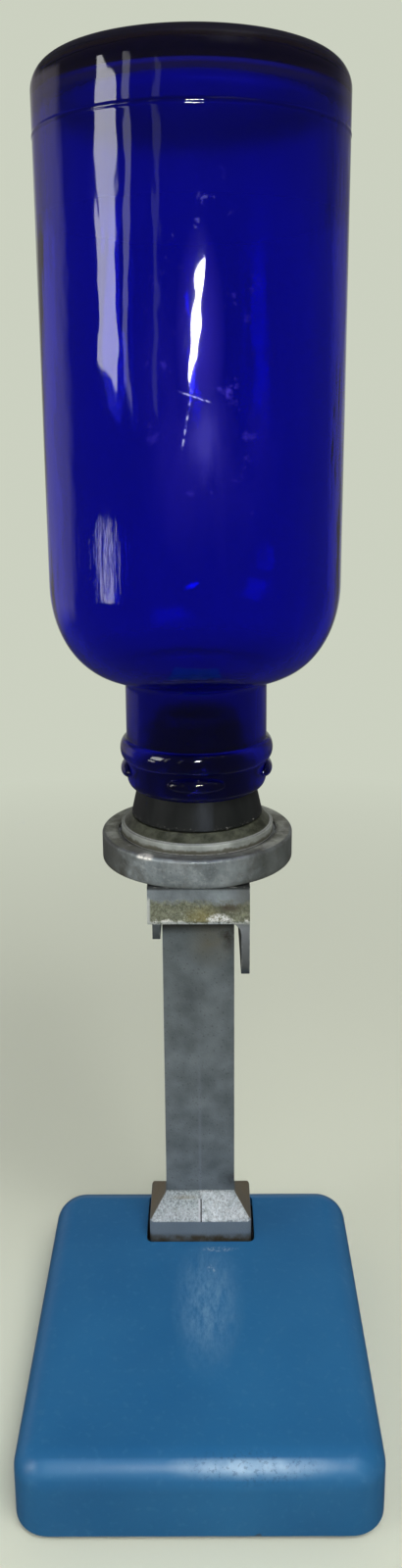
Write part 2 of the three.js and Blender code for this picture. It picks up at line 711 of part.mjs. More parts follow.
// Front plate with the flared strip and a fillet into the right cheek
function frontPlate() {
  const front = -YOKE_FRONT;
  const back = front + YOKE_PLATE_T;
  const thumbTop = LIP_EDGE_Z + THUMB_H;
  const plate = sidePlate(sideShape([
    [back, yokeTop],
    [front, yokeTop],
    [front, thumbTop],
    [front - THUMB_OUT, LIP_EDGE_Z + THUMB_OUT],
    [front - THUMB_OUT / 2, LIP_EDGE_Z],
    [back, LIP_EDGE_Z],
  ]), yokeLeft, yokeRight);
  const inner = yokeRight - CHEEK_T;
  const web = box(inner - WEB_R, inner + FIT, front, back, LIP_EDGE_Z - WEB_R, LIP_EDGE_Z + FIT)
    .subtract(barY(inner - WEB_R, front - CUT, back + CUT, LIP_EDGE_Z - WEB_R, WEB_R));
  return plate.add(web);
}

function finger(x0, x1) {
  const half = FINGER_NECK / 2;
  const neck = box(x0, x1, postMid - half, postMid + half, yokeTop - CUT, fingerZ);
  return neck.add(barX(x0, x1, postMid, fingerZ, FINGER_R));
}

function triggerYoke() {
  const bridgeTop = CHEEK_Z + BRIDGE_H;
  const bridge = box(yokeLeft, yokeRight, YOKE_BACK - BRIDGE_T, YOKE_BACK, CHEEK_Z + FIT, bridgeTop);
  const fingers = [finger(yokeLeft, yokeLeft + CHEEK_T), finger(yokeRight - CHEEK_T, yokeRight)];
  const body = joined([frontPlate(), rightCheek(), leftCheek(), bridge, ...fingers]);
  const pin = barX(yokeLeft - CUT, yokeRight + CUT, postMid, PIVOT_Z, PIVOT_R + FIT);
  const anchor = barY(0, YOKE_BACK - BRIDGE_T - CUT, YOKE_BACK + CUT, SPRING_TOP_Z, SPRING_SCREW_R + FIT);
  return carved(body, [pin, anchor]);
}

function pivotPin() {
  return barX(yokeLeft, yokeRight, postMid, PIVOT_Z, PIVOT_R);
}

function pivotWasher() {
  const x0 = POST_W / 2 + FIT;
  const x1 = POST_W / 2 + RIGHT_GAP - FIT;
  return barX(x0, x1, postMid, PIVOT_Z, WASHER_R)
    .subtract(barX(x0 - CUT, x1 + CUT, postMid, PIVOT_Z, PIVOT_R + FIT));
}

// Flat plate with the dose pocket and two arms that the yoke fingers push
function doseSlide() {
  const back = ISLAND_FRONT - FIT;
  const plate = box(-SLIDE_HALF, SLIDE_HALF, slideFront, back, slideLow, slideTop);
  const arm = (sign) => {
    const place = (x) => sign * x;
    const outline = [
      [place(ARM_IN), ARM_FRONT],
      [place(ARM_OUT), ARM_FRONT],
      [place(ARM_OUT), postMid - FINGER_R - RUN],
      [place(NOTCH_IN), postMid - FINGER_R - RUN],
      [place(NOTCH_IN), postMid + FINGER_R + RUN],
      [place(ARM_OUT), postMid + FINGER_R + RUN],
      [place(ARM_OUT), ARM_BACK],
      [place(ARM_IN), ARM_BACK],
    ];
    return flatPlate(outline, slideLow, slideTop);
  };
  const pocket = box(-POCKET_W / 2, POCKET_W / 2, POCKET_Y - POCKET_L / 2, POCKET_Y + POCKET_L / 2,
    slideLow - CUT, slideTop + CUT);
  return joined([plate, arm(-1), arm(1)]).subtract(pocket);
}

// Shank from its seat to the head behind it
function springScrew(seat, grip, z) {
  const neck = YOKE_BACK + SPRING_SCREW_NECK;
  return barY(0, seat - grip, neck + FIT, z, SPRING_SCREW_R)
    .add(barY(0, neck, neck + SPRING_SCREW_HEAD_T, z, SPRING_SCREW_HEAD_R));
}

// Wire line: lower hook, coil, upper hook
function springLine() {
  const hook = SPRING_SCREW_R + RUN + WIRE_R;
  const point = (x, y, z) => new THREE.Vector3(x, springY + y, z);
  const loop = (z, from) => Array.from({ length: HOOK_STEPS + 1 }, (_, k) => {
    const a = THREE.MathUtils.degToRad(from + (HOOK_WRAP * k) / HOOK_STEPS);
    return point(hook * Math.cos(a), 0, z + hook * Math.sin(a));
  });
  const low = SPRING_LOW_Z + HOOK_RISE;
  const high = SPRING_TOP_Z - HOOK_RISE;
  const steps = COIL_TURNS * CURL_STEPS;
  const coil = Array.from({ length: steps + 1 }, (_, k) => {
    const a = (k / CURL_STEPS) * 2 * Math.PI;
    return point(COIL_R * Math.cos(a), COIL_R * Math.sin(a), low + ((high - low) * k) / steps);
  });
  return [...loop(SPRING_LOW_Z, HOOK_LEAVE - HOOK_WRAP), ...coil, ...loop(SPRING_TOP_Z, -HOOK_LEAVE)];
}

function springGap(points) {
  let least = Infinity;
  for (let i = 0; i < points.length; i += 1) {
    for (let j = i + CURL_STEPS - 2; j < points.length; j += 1) {
      least = Math.min(least, points[i].distanceTo(points[j]));
    }
  }
  return least - 2 * WIRE_R;
}

function returnSpring() {
  const line = springLine();
  console.log('spring self-gap mm', springGap(line).toFixed(2));
  const wire = new THREE.Shape(Array.from({ length: WIRE_SIDES }, (_, k) => {
    const a = (k / WIRE_SIDES) * 2 * Math.PI;
    return new THREE.Vector2(WIRE_R * Math.cos(a), WIRE_R * Math.sin(a));
  }));
  const path = new THREE.CatmullRomCurve3(line);
  const steps = line.length + CURL_STEPS;
  return solid(new THREE.ExtrudeGeometry(wire, { steps, extrudePath: path, bevelEnabled: false }));
}

const METAL = [0x8b8f94, 0.45, 1];
const BRIGHT = [0xb9bcc0, 0.3, 1];
const BRASS = [0xb08d4a, 0.35, 1];

const whole = new THREE.Group();
whole.name = 'powder_dispenser';
whole.add(
  node('bottle', bottle(), 0x101a9a, 0.08, 0),
  node('stopper', stopper(), 0x101012, 0.55, 0),
  node('feed_tube', feedTube(), ...BRASS),
  node('seat_ring', seatRing(), 0x6f6250, 0.6, 0.8),
  node('head_disc', headDisc(), 0x9aa0a4, 0.45, 1),
  node('outlet_plate', outletPlate(), ...METAL),
  node('dose_slide', doseSlide(), ...BRASS),
  node('trigger_yoke', triggerYoke(), 0x7f868c, 0.5, 1),
  node('pivot_pin', pivotPin(), ...BRIGHT),
  node('pivot_washer', pivotWasher(), ...BRASS),
  node('return_spring', returnSpring(), ...BRIGHT),
  node('spring_screw_upper', springScrew(YOKE_BACK, BRIDGE_T, SPRING_TOP_Z), ...BRIGHT),
  node('spring_screw_lower', springScrew(postBack, SPRING_SCREW_GRIP, SPRING_LOW_Z), ...BRIGHT),
  node('post', post(), 0x7d8388, 0.6, 0.9),
  node('base_shell', baseShell(), 0x2a6fae, 0.4, 0),
  node('ballast_block', ballastBlock(), 0x3a3a3c, 0.8, 0.6),
  node('bottom_plate', bottomPlate(), ...METAL),
  node('felt_pad', feltPad(), 0x26302a, 0.95, 0),
);
headScrewPlaces().forEach(([side, x]) => whole.add(node(`head_screw_${side}`, headScrew(x), ...BRIGHT)));
outletScrewPlaces().forEach(([at, x, y]) => (
  whole.add(node(`outlet_screw_${at}`, outletScrew(x, y), ...BRIGHT))));
boltPlaces().forEach(([side, x]) => whole.add(node(`foot_bolt_${side}`, footBolt(x), ...METAL)));
bossPlaces().forEach(([at, x, y]) => whole.add(node(`plate_screw_${at}`, plateScrew(x, y), ...METAL)));

export default whole;
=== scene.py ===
from math import cos, pi, radians, sin

import bpy
from mathutils import Matrix, Vector


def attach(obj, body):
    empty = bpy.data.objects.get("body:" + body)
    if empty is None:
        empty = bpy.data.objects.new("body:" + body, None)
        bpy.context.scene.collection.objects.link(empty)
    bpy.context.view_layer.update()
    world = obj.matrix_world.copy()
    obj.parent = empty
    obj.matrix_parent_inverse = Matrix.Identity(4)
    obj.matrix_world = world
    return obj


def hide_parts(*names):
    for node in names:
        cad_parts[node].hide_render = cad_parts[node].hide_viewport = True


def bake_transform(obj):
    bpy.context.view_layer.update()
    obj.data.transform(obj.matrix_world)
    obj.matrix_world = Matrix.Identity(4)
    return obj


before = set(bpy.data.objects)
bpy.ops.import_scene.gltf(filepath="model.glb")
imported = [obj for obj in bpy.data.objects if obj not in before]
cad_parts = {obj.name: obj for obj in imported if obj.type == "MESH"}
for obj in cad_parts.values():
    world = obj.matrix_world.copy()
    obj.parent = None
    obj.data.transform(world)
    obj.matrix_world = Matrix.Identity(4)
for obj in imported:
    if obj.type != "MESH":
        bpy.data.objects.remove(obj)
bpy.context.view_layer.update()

# Base shell
# A heavy metal box painted blue, with rounded corners and a rounded top edge, open below and closed by the
# bottom plate. Its top has a rectangular hole in which the foot of the post stands.
MM = 0.001
base_wide, base_deep = 101.4 * MM, 116 * MM
base_low, base_high = 1.7 * MM, 24 * MM
base_mid_y = -28 * MM
base_front = base_mid_y - base_deep / 2
base_corner, base_round, base_wall = 10 * MM, 8 * MM, 3 * MM
post_mid_y = 12 * MM
foot_hole_wide, foot_hole_deep, foot_hole_round = 36.3 * MM, 23.4 * MM, 2 * MM
TINY = 1e-6


def clear():
    """Back to object mode with nothing selected."""
    if bpy.context.object and bpy.context.object.mode != "OBJECT":
        bpy.ops.object.mode_set(mode="OBJECT")
    bpy.ops.object.select_all(action="DESELECT")


def begin(name):
    """Names the primitive just added and puts its place into its mesh."""
    piece = bpy.context.object
    piece.name = name
    bpy.ops.object.transform_apply(location=True, rotation=True, scale=True)
    return piece


def block(name, low, high):
    """A cube between two corners, as the start of a piece or of a cutter."""
    clear()
    low, high = Vector(low), Vector(high)
    bpy.ops.mesh.primitive_cube_add(size=1, location=(low + high) / 2, scale=high - low)
    return begin(name)


def grab(piece):
    """Makes a piece the active one and the only one selected."""
    clear()
    bpy.context.view_layer.objects.active = piece
    piece.select_set(True)


def edit(piece):
    grab(piece)
    bpy.ops.object.mode_set(mode="EDIT")


def unpick(piece, kind):
    """Leaves a mesh in object mode with no edge or face selected."""
    edit(piece)
    bpy.ops.mesh.select_mode(type=kind)
    bpy.ops.mesh.select_all(action="DESELECT")
    bpy.ops.object.mode_set(mode="OBJECT")


def pick_edges(piece, test):
    """Leaves in edit mode with the edges selected whose two ends pass the test."""
    unpick(piece, "EDGE")
    points = piece.data.vertices
    for edge in piece.data.edges:
        edge.select = test(points[edge.vertices[0]].co, points[edge.vertices[1]].co)
    bpy.ops.object.mode_set(mode="EDIT")


def pick_faces(piece, test):
    """Leaves in edit mode with the faces selected whose middle and normal pass the test."""
    unpick(piece, "FACE")
    for face in piece.data.polygons:
        face.select = test(face.center, face.normal)
    bpy.ops.object.mode_set(mode="EDIT")


def upright(a, b):
    return abs(a.x - b.x) < TINY and abs(a.y - b.y) < TINY


def bevel(offset, segments):
    bpy.ops.mesh.bevel(offset=offset, offset_type="OFFSET", segments=segments, affect="EDGES")
    bpy.ops.object.mode_set(mode="OBJECT")


def modify(piece, kind, **settings):
    """Adds a modifier with its settings and applies it."""
    grab(piece)
    bpy.ops.object.modifier_add(type=kind)
    made = piece.modifiers[-1]
    for name, value in settings.items():
        setattr(made, name, value)
    bpy.ops.object.modifier_apply(modifier=made.name)


def boolean(piece, tool, operation="DIFFERENCE"):
    """Cuts a tool out of a piece, or joins it on, and removes the tool."""
    modify(piece, "BOOLEAN", operation=operation, object=tool, solver="EXACT")
    bpy.data.objects.remove(tool)


def soften(piece, width, segments=2, angle=40):
    """Rounds the sharp edges that are left with a Bevel modifier."""
    modify(piece, "BEVEL", width=width, segments=segments, limit_method="ANGLE", angle_limit=radians(angle))


def smooth(piece, angle=35):
    grab(piece)
    bpy.ops.object.shade_smooth_by_angle(angle=radians(angle))


base = block(
    "base_cover",
    (-base_wide / 2, base_front, base_low),
    (base_wide / 2, base_mid_y + base_deep / 2, base_high),
)
pick_edges(base, upright)
bevel(base_corner, 14)
pick_edges(base, lambda a, b: min(a.z, b.z) > base_high - TINY)
bevel(base_round, 12)
pick_faces(base, lambda at, n: n.z < -0.9)
bpy.ops.mesh.inset(thickness=base_wall)
hollow = base_high - base_wall - base_low
bpy.ops.mesh.extrude_region_move(TRANSFORM_OT_translate={"value": (0, 0, hollow)})
hole = block(
    "foot_hole",
    (-foot_hole_wide / 2, post_mid_y - foot_hole_deep / 2, base_high - 2 * base_wall),
    (foot_hole_wide / 2, post_mid_y + foot_hole_deep / 2, base_high + base_wall),
)
pick_edges(hole, upright)
bevel(foot_hole_round, 5)
boolean(base, hole)
smooth(base, 30)


def plug(tree, socket, value):
    """Links a socket to an output, or sets it to a plain value."""
    if isinstance(value, bpy.types.NodeSocket):
        tree.links.new(value, socket)
    else:
        socket.default_value = value


def feed(tree, node, **sockets):
    """Links named sockets of a node to outputs, or sets them to plain values."""
    for name, value in sockets.items():
        plug(tree, node.inputs[name.replace("_", " ")], value)


def put(tree, kind, settings=None, **sockets):
    """A node with its settings, and its sockets fed."""
    made = tree.nodes.new(kind)
    for name, value in (settings or {}).items():
        setattr(made, name, value)
    feed(tree, made, **sockets)
    return made


def place(tree):
    return put(tree, "ShaderNodeTexCoord").outputs["Object"]


def stretched(tree, *scale):
    """The object's own coordinates scaled, so that noise on them is drawn out along an axis."""
    return put(tree, "ShaderNodeMapping", Vector=place(tree), Scale=scale).outputs[0]


def cloud(tree, scale, detail=4.0, roughness=0.55, at=None):
    """Soft noise from 0 to 1 on the object's own coordinates."""
    where = at or place(tree)
    noise = put(tree, "ShaderNodeTexNoise", Vector=where, Scale=scale, Detail=detail, Roughness=roughness)
    return noise.outputs["Fac"]


def ramp(tree, value, low, high, to_low=0.0, to_high=1.0):
    """A value between two limits spread over 0 to 1, or over two other limits."""
    limits = {"From_Min": low, "From_Max": high, "To_Min": to_low, "To_Max": to_high}
    return put(tree, "ShaderNodeMapRange", Value=value, **limits).outputs["Result"]


def spots(tree, low, high, *noise):
    """Noise spread over 0 to 1 between two limits, so that it stands in separate spots."""
    return ramp(tree, cloud(tree, *noise), low, high)


def maths(tree, operation, a, b=0.0):
    made = put(tree, "ShaderNodeMath", {"operation": operation})
    plug(tree, made.inputs[0], a)
    plug(tree, made.inputs[1], b)
    return made.outputs[0]


def plus(tree, a, b):
    return maths(tree, "ADD", a, b)


def minus(tree, a, b):
    return maths(tree, "SUBTRACT", a, b)


def most(tree, a, b):
    return maths(tree, "MAXIMUM", a, b)


def times(tree, first, *others):
    for other in others:
        first = maths(tree, "MULTIPLY", first, other)
    return first


def vector(tree, operation, a, b=(0, 0, 0)):
    made = put(tree, "ShaderNodeVectorMath", {"operation": operation})
    plug(tree, made.inputs[0], a)
    plug(tree, made.inputs[1], b)
    return made.outputs["Value" if operation in ("LENGTH", "DOT_PRODUCT") else "Vector"]


def tint(tree, share, a, b):
    """Colour a turning into colour b by a share from 0 to 1."""
    made = put(tree, "ShaderNodeMix", {"data_type": "RGBA"})
    plug(tree, made.inputs[0], share)
    for socket, colour in ((made.inputs[6], a), (made.inputs[7], b)):
        plug(tree, socket, (*colour, 1.0) if isinstance(colour, tuple) else colour)
    return made.outputs[2]


def over(tree, under, colour, *shares):
    """A colour laid over another one by the product of some shares."""
    return tint(tree, times(tree, *shares), under, colour)


def axis_of(tree, letter):
    return put(tree, "ShaderNodeSeparateXYZ", Vector=place(tree)).outputs[letter]


def between(tree, letter, low, high, to_low=0.0, to_high=1.0):
    """A share that rises from one place to another along an axis of the object."""
    return ramp(tree, axis_of(tree, letter), low, high, to_low, to_high)


def band(tree, letter, start, full, fall, end):
    """1 along a stretch of an axis of the object, fading to 0 at both ends."""
    return times(tree, between(tree, letter, start, full), between(tree, letter, end, fall))


def away(tree, letter, middle=0.0):
    """Distance from a middle along an axis of the object."""
    return maths(tree, "ABSOLUTE", minus(tree, axis_of(tree, letter), middle))


def patch(tree, middle, reach):
    """1 in the middle of an egg-shaped patch of the surface, fading to 0 at its reach."""
    apart = vector(tree, "DIVIDE", vector(tree, "SUBTRACT", place(tree), middle), reach)
    return ramp(tree, vector(tree, "LENGTH", apart), 1.0, 0.2)


def relief(tree, shader, height, strength, distance):
    bump = put(tree, "ShaderNodeBump", Height=height, Strength=strength, Distance=distance)
    feed(tree, shader, Normal=bump.outputs["Normal"])


def finish(name, **sockets):
    """A new material with sockets of its Principled shader set."""
    made = bpy.data.materials.new(name)
    made.use_nodes = True
    shader = made.node_tree.nodes["Principled BSDF"]
    feed(made.node_tree, shader, **sockets)
    return made, made.node_tree, shader


def clothe(piece, *materials):
    piece.data.materials.clear()
    for material in materials:
        piece.data.materials.append(material)


def group(name, inputs, outputs):
    """An empty node group with named float inputs and outputs."""
    tree = bpy.data.node_groups.new(name, "ShaderNodeTree")
    for socket, value in inputs.items():
        made = tree.interface.new_socket(socket, in_out="INPUT", socket_type="NodeSocketFloat")
        made.default_value = value
    for socket in outputs:
        tree.interface.new_socket(socket, in_out="OUTPUT", socket_type="NodeSocketFloat")
    return tree, tree.nodes.new("NodeGroupInput").outputs, tree.nodes.new("NodeGroupOutput")


def use(tree, made, **inputs):
    return put(tree, "ShaderNodeGroup", {"node_tree": made}, **inputs).outputs


# Wear on edges: how far the surface turns within a small radius, broken up by noise.
worn_edges, worn_in, worn_out = group(
    "worn edges", {"Radius": MM, "Break Scale": 700.0, "Cover": 0.5}, ["Edge", "Worn"]
)
turned_normal = put(worn_edges, "ShaderNodeBevel", {"samples": 6}, Radius=worn_in["Radius"]).outputs["Normal"]
own_normal = put(worn_edges, "ShaderNodeNewGeometry").outputs["Normal"]
edge_share = ramp(worn_edges, vector(worn_edges, "DOT_PRODUCT", turned_normal, own_normal), 0.995, 0.86)
broken = cloud(worn_edges, worn_in["Break Scale"], 5.0, 0.5)
lift = plus(worn_edges, broken, minus(worn_edges, worn_in["Cover"], 0.5))
worn_share = times(worn_edges, edge_share, ramp(worn_edges, lift, 0.5, 0.62))
feed(worn_edges, worn_out, Edge=edge_share, Worn=worn_share)

enamel, tree, shader = finish("blue_enamel", Metallic=0.0, IOR=1.5)
tone = tint(tree, spots(tree, 0.3, 0.7, 22.0), (0.011, 0.1, 0.245), (0.016, 0.128, 0.292))
tone = over(tree, tone, (0.06, 0.19, 0.36), spots(tree, 0.56, 0.7, 420.0, 6.0), 0.22)
# Paler, rougher patch on the top: wear where tumblers stand, with a painted highlight over it.
sheen_patch = spots(tree, 0.36, 0.68, 520.0, 8.0, 0.75, stretched(tree, 1, 0.3, 1))
sheen_patch = times(tree, patch(tree, (2.5 * MM, -27 * MM, base_high), (12 * MM, 30 * MM, 20 * MM)), sheen_patch)
tone = over(tree, tone, (0.17, 0.34, 0.5), sheen_patch, 0.62)
scuffs = most(
    tree,
    patch(tree, (6.5 * MM, -3.4 * MM, base_high), (7 * MM, 1.3 * MM, 10 * MM)),
    patch(tree, (3.5 * MM, -12.5 * MM, base_high), (1.6 * MM, 2.2 * MM, 10 * MM)),
)
tone = over(tree, tone, (0.5, 0.56, 0.6), scuffs, spots(tree, 0.5, 0.62, 1100.0, 4.0, 0.7), 0.7)
wear = use(tree, worn_edges, Radius=4 * MM, Break_Scale=420.0, Cover=0.3)
tone = over(tree, tone, (0.09, 0.25, 0.42), wear["Worn"], 0.6)
# Painted highlight: a paler band along the rounded front edge, fading at the corners.
front_edge_highlight = band(tree, "Y", *[base_front + back * MM for back in (0.6, 1.8, 3.6, 4.5)])
front_edge_highlight = times(tree, front_edge_highlight, ramp(tree, away(tree, "X"), 47 * MM, 41 * MM))
tone = over(tree, tone, (0.09, 0.27, 0.5), front_edge_highlight, 0.28)
# In the front edge's painted highlight: a brighter noisy patch of painted glare, and dark knocks in the
# paint.
knocks_and_glare = patch(tree, (14 * MM, base_front + 2.6 * MM, 22 * MM), (24 * MM, 5 * MM, 6 * MM))
tone = over(tree, tone, (0.42, 0.6, 0.76), knocks_and_glare, front_edge_highlight, cloud(tree, 240.0, 5.0))
knocks_and_glare = ramp(tree, knocks_and_glare, 0.1, 0.6)
tone = over(tree, tone, (0.01, 0.05, 0.12), knocks_and_glare, spots(tree, 0.54, 0.6, 900.0, 4.0, 0.7), 0.4)
tone = over(tree, tone, (0.05, 0.06, 0.07), wear["Edge"], spots(tree, 0.69, 0.72, 260.0, 3.0, 0.6))
gloss = plus(tree, ramp(tree, cloud(tree, 90.0, 5.0), 0.3, 0.7, 0.3, 0.4), times(tree, sheen_patch, 0.25))
feed(tree, shader, Base_Color=tone, Roughness=gloss)
relief(tree, shader, cloud(tree, 520.0, 2.0), 0.1, 0.4 * MM)
clothe(base, enamel)
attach(base, "stand")
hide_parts("base_shell")

# Felt under the base
# A sheet of dense dark felt, cut to the base with rounded corners and glued on, so that the stand doesn't
# scratch the counter.
felt_inset, felt_thick = 2 * MM, 1.4 * MM
felt_wide, felt_deep = base_wide - 2 * felt_inset, base_deep - 2 * felt_inset
felt = block(
    "felt_sheet",
    (-felt_wide / 2, base_mid_y - felt_deep / 2, 0),
    (felt_wide / 2, base_mid_y + felt_deep / 2, felt_thick),
)
pick_edges(felt, upright)
bevel(base_corner - felt_inset, 10)
soften(felt, 0.3 * MM)
smooth(felt)
felt_finish, tree, shader = finish("felt", Roughness=0.95, Sheen_Weight=0.4)
tone = tint(tree, cloud(tree, 2600.0, 6.0, 0.8), (0.008, 0.012, 0.009), (0.035, 0.045, 0.038))
feed(tree, shader, Base_Color=tone)
relief(tree, shader, cloud(tree, 3200.0, 6.0, 0.8), 0.6, 0.3 * MM)
clothe(felt, felt_finish)
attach(felt, "stand")
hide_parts("felt_pad")

# Ballast, bottom plate and their fasteners
# A rough iron block fills the base and two bolts draw it up against the foot; a sheet steel plate on four
# countersunk screws closes the underside.

# Grain of castings: a mottled tone, a fine grain and pits, all finer with a larger size.
cast_grain, grain_in, grain_out = group("cast grain", {"Size": 1.0}, ["Mottle", "Grain", "Pits"])
mottle = cloud(cast_grain, times(cast_grain, grain_in["Size"], 130.0), 6.0, 0.5)
fine = cloud(cast_grain, times(cast_grain, grain_in["Size"], 1700.0), 4.0, 0.5)
spread = times(cast_grain, grain_in["Size"], 650.0)
holes = put(cast_grain, "ShaderNodeTexVoronoi", Vector=place(cast_grain), Scale=spread)
pits = ramp(cast_grain, holes.outputs["Distance"], 0.24, 0.08)
feed(cast_grain, grain_out, Mottle=mottle, Grain=fine, Pits=pits)

iron, tree, shader = finish("rough_iron", Metallic=0.8, Roughness=0.75)
grain = use(tree, cast_grain, Size=0.7)
feed(tree, shader, Base_Color=tint(tree, grain["Mottle"], (0.03, 0.03, 0.032), (0.1, 0.09, 0.085)))
relief(tree, shader, grain["Grain"], 0.5, 0.6 * MM)
clothe(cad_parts["ballast_block"], iron)

steel, tree, shader = finish("turned_steel", Metallic=1.0)
lines = cloud(tree, 500.0, 4.0, 0.6, stretched(tree, 1, 1, 14))
tone = tint(tree, lines, (0.3, 0.3, 0.3), (0.55, 0.55, 0.54))
feed(tree, shader, Base_Color=tone, Roughness=ramp(tree, lines, 0.2, 0.8, 0.25, 0.45))
for name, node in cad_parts.items():
    if "screw" in name or "bolt" in name or name in ("bottom_plate", "pivot_pin"):
        clothe(node, steel)

# Post and foot
# A flat cast bar with a flared foot let into the base; the flare falls off low behind the bar. Its front
# slope is scraped bright, with a shallow step down its left half where the two halves of the mould met.
post_wide, post_deep, post_top = 22.9 * MM, 10 * MM, 163.3 * MM
foot_out, foot_low, foot_round, bar_low = 5.6 * MM, 21 * MM, 1.6 * MM, 23 * MM
foot_band_top, foot_top, flare_top_deep = 31 * MM, 38.75 * MM, 4.9 * MM
post_front_y = post_mid_y - post_deep / 2
foot_front_y = post_front_y - foot_out
post = block(
    "post_bar",
    (-post_wide / 2 - foot_out, foot_front_y, foot_low),
    (post_wide / 2 + foot_out, post_mid_y + post_deep / 2 + foot_out, foot_band_top),
)
pick_faces(post, lambda at, n: n.z > 0.9)
bpy.ops.mesh.extrude_region_move(TRANSFORM_OT_translate={"value": (0, 0, foot_top - foot_band_top)})
shrink = (post_wide / (post_wide + 2 * foot_out), flare_top_deep / (post_deep + 2 * foot_out), 1)
bpy.ops.transform.resize(value=shrink, center_override=(0, post_mid_y, foot_top))
bpy.ops.transform.translate(value=(0, post_front_y + flare_top_deep / 2 - post_mid_y, 0))
pick_edges(post, lambda a, b: upright(a, b) and min(a.z, b.z) < foot_band_top - TINY)
bevel(foot_round, 5)
bar = block(
    "upright_bar",
    (-post_wide / 2, post_front_y, bar_low),
    (post_wide / 2, post_front_y + post_deep, post_top),
)
boolean(post, bar, "UNION")
slope_in, slope_up = foot_out, foot_top - foot_band_top
slope_long = (slope_in**2 + slope_up**2) ** 0.5
along = Vector((0, slope_in, slope_up)) / slope_long
outward = Vector((0, -slope_up, slope_in)) / slope_long
step_left, step_right = -19 * MM, 0.2 * MM
step_low, step_high, step_sink = -0.2 * MM, 6.9 * MM, 0.35 * MM
step = block("mould_step", (step_left, -step_sink, step_low), (step_right, 3 * step_sink, step_high))
tilt = Matrix((Vector((1, 0, 0)), outward, along)).transposed().to_4x4()
tilt.translation = Vector((0, foot_front_y, foot_band_top))
step.data.transform(tilt)
boolean(post, step)
soften(post, 0.5 * MM, 3, 25)
smooth(post, 30)

cast_grey, tree, shader = finish("grey_casting", Metallic=0.6)
grain = use(tree, cast_grain, Size=1.0)
tone = tint(tree, ramp(tree, grain["Mottle"], 0.3, 0.7), (0.15, 0.176, 0.186), (0.258, 0.297, 0.315))
tone = over(tree, tone, (0.05, 0.05, 0.045), grain["Pits"], 0.35)
stain = patch(tree, (4 * MM, post_front_y, 131 * MM), (9 * MM, 10 * MM, 11 * MM))
tone = over(tree, tone, (0.2, 0.17, 0.09), stain, cloud(tree, 260.0, 5.0), 0.8)
# Painted shadow of the yoke's plate: a dark brown band across the post's front below the plate, joined by a
# stain streak near the right edge.
under = between(tree, "Z", 133.4 * MM, 136.2 * MM, 0.0, 0.85)
streak = patch(tree, (9.6 * MM, post_front_y, 134 * MM), (3.4 * MM, 10 * MM, 9 * MM))
under = most(tree, under, times(tree, streak, spots(tree, 0.3, 0.6, 330.0, 5.0)))
tone = over(tree, tone, (0.042, 0.034, 0.022), under, between(tree, "Z", 146 * MM, 140 * MM))
smudge = patch(tree, (10.5 * MM, post_front_y, 43 * MM), (5 * MM, 10 * MM, 6 * MM))
tone = over(tree, tone, (0.035, 0.035, 0.035), smudge, cloud(tree, 420.0, 5.0))
seam = ramp(tree, away(tree, "X"), 0.7 * MM, 0.1 * MM)
tone = over(tree, tone, (0.28, 0.31, 0.36), seam, between(tree, "Z", 115 * MM, 60 * MM), 0.35)
on_band = band(tree, "Z", base_high, base_high + 3 * MM, foot_band_top - 0.4 * MM, foot_band_top + 0.4 * MM)
tone = over(tree, tone, (0.34, 0.4, 0.44), on_band, 0.7)
# Painted shade with a warm painted reflection: the flare's side slopes beside the bar are brown.
flare_side_shade = ramp(tree, away(tree, "X"), post_wide / 2 + 0.1 * MM, post_wide / 2 + 0.6 * MM)
flare_side_shade = times(tree, flare_side_shade, between(tree, "Z", foot_band_top - 0.3 * MM, foot_band_top + 0.5 * MM))
tone = over(tree, tone, (0.25, 0.2, 0.125), flare_side_shade, ramp(tree, grain["Mottle"], 0.2, 0.8, 0.6, 1.0))
# Darker and browner just above the base, at the bottom of the foot's band.
darker_near_base = between(tree, "Z", base_high + 2.4 * MM, base_high + 1 * MM)
tone = over(tree, tone, (0.1, 0.075, 0.03), darker_near_base, spots(tree, 0.36, 0.56, 230.0, 5.0), 0.8)
wear = use(tree, worn_edges, Radius=0.8 * MM, Break_Scale=500.0, Cover=0.45)
tone = over(tree, tone, (0.45, 0.46, 0.46), wear["Worn"], 0.6)
feed(tree, shader, Base_Color=tone, Roughness=ramp(tree, grain["Mottle"], 0.3, 0.7, 0.5, 0.62))
relief(tree, shader, grain["Grain"], 0.25, 0.4 * MM)

scraped, tree, shader = finish("scraped_metal", Metallic=0.6)
glitter = put(tree, "ShaderNodeTexVoronoi", Vector=place(tree), Scale=2300.0).outputs["Color"]
flake = put(tree, "ShaderNodeSeparateColor", Color=glitter).outputs[0]
right_half = between(tree, "X", -0.3 * MM, 0.3 * MM)
downhill = between(tree, "Z", foot_top - 1.5 * MM, foot_band_top + 1 * MM)
shine = plus(tree, times(tree, downhill, 0.45), times(tree, right_half, 0.4))
tone = tint(tree, flake, (0.26, 0.3, 0.325), (0.56, 0.63, 0.66))
tone = over(tree, tone, (0.92, 0.96, 0.98), shine, spots(tree, 0.35, 0.65, 500.0, 6.0, 0.7))
worn = spots(tree, 0.5, 0.62, 1300.0, 8.0, 0.8)
tone = over(tree, tone, (0.1, 0.105, 0.1), worn, ramp(tree, shine, 0.0, 0.85, 0.85, 0.55))
# Browner along the top edge of the step, on the left half.
above_step = band(tree, "Z", *[foot_band_top + up * MM for up in (5.4, 5.8, 6.2, 7)])
step_top_brown = patch(tree, (-5 * MM, post_front_y, foot_band_top + 6 * MM), (6 * MM, 9 * MM, 3 * MM))
tone = over(tree, tone, (0.26, 0.23, 0.15), above_step, step_top_brown, 0.55)
below_step = between(tree, "Z", foot_band_top + 5.9 * MM, foot_band_top + 5.5 * MM)
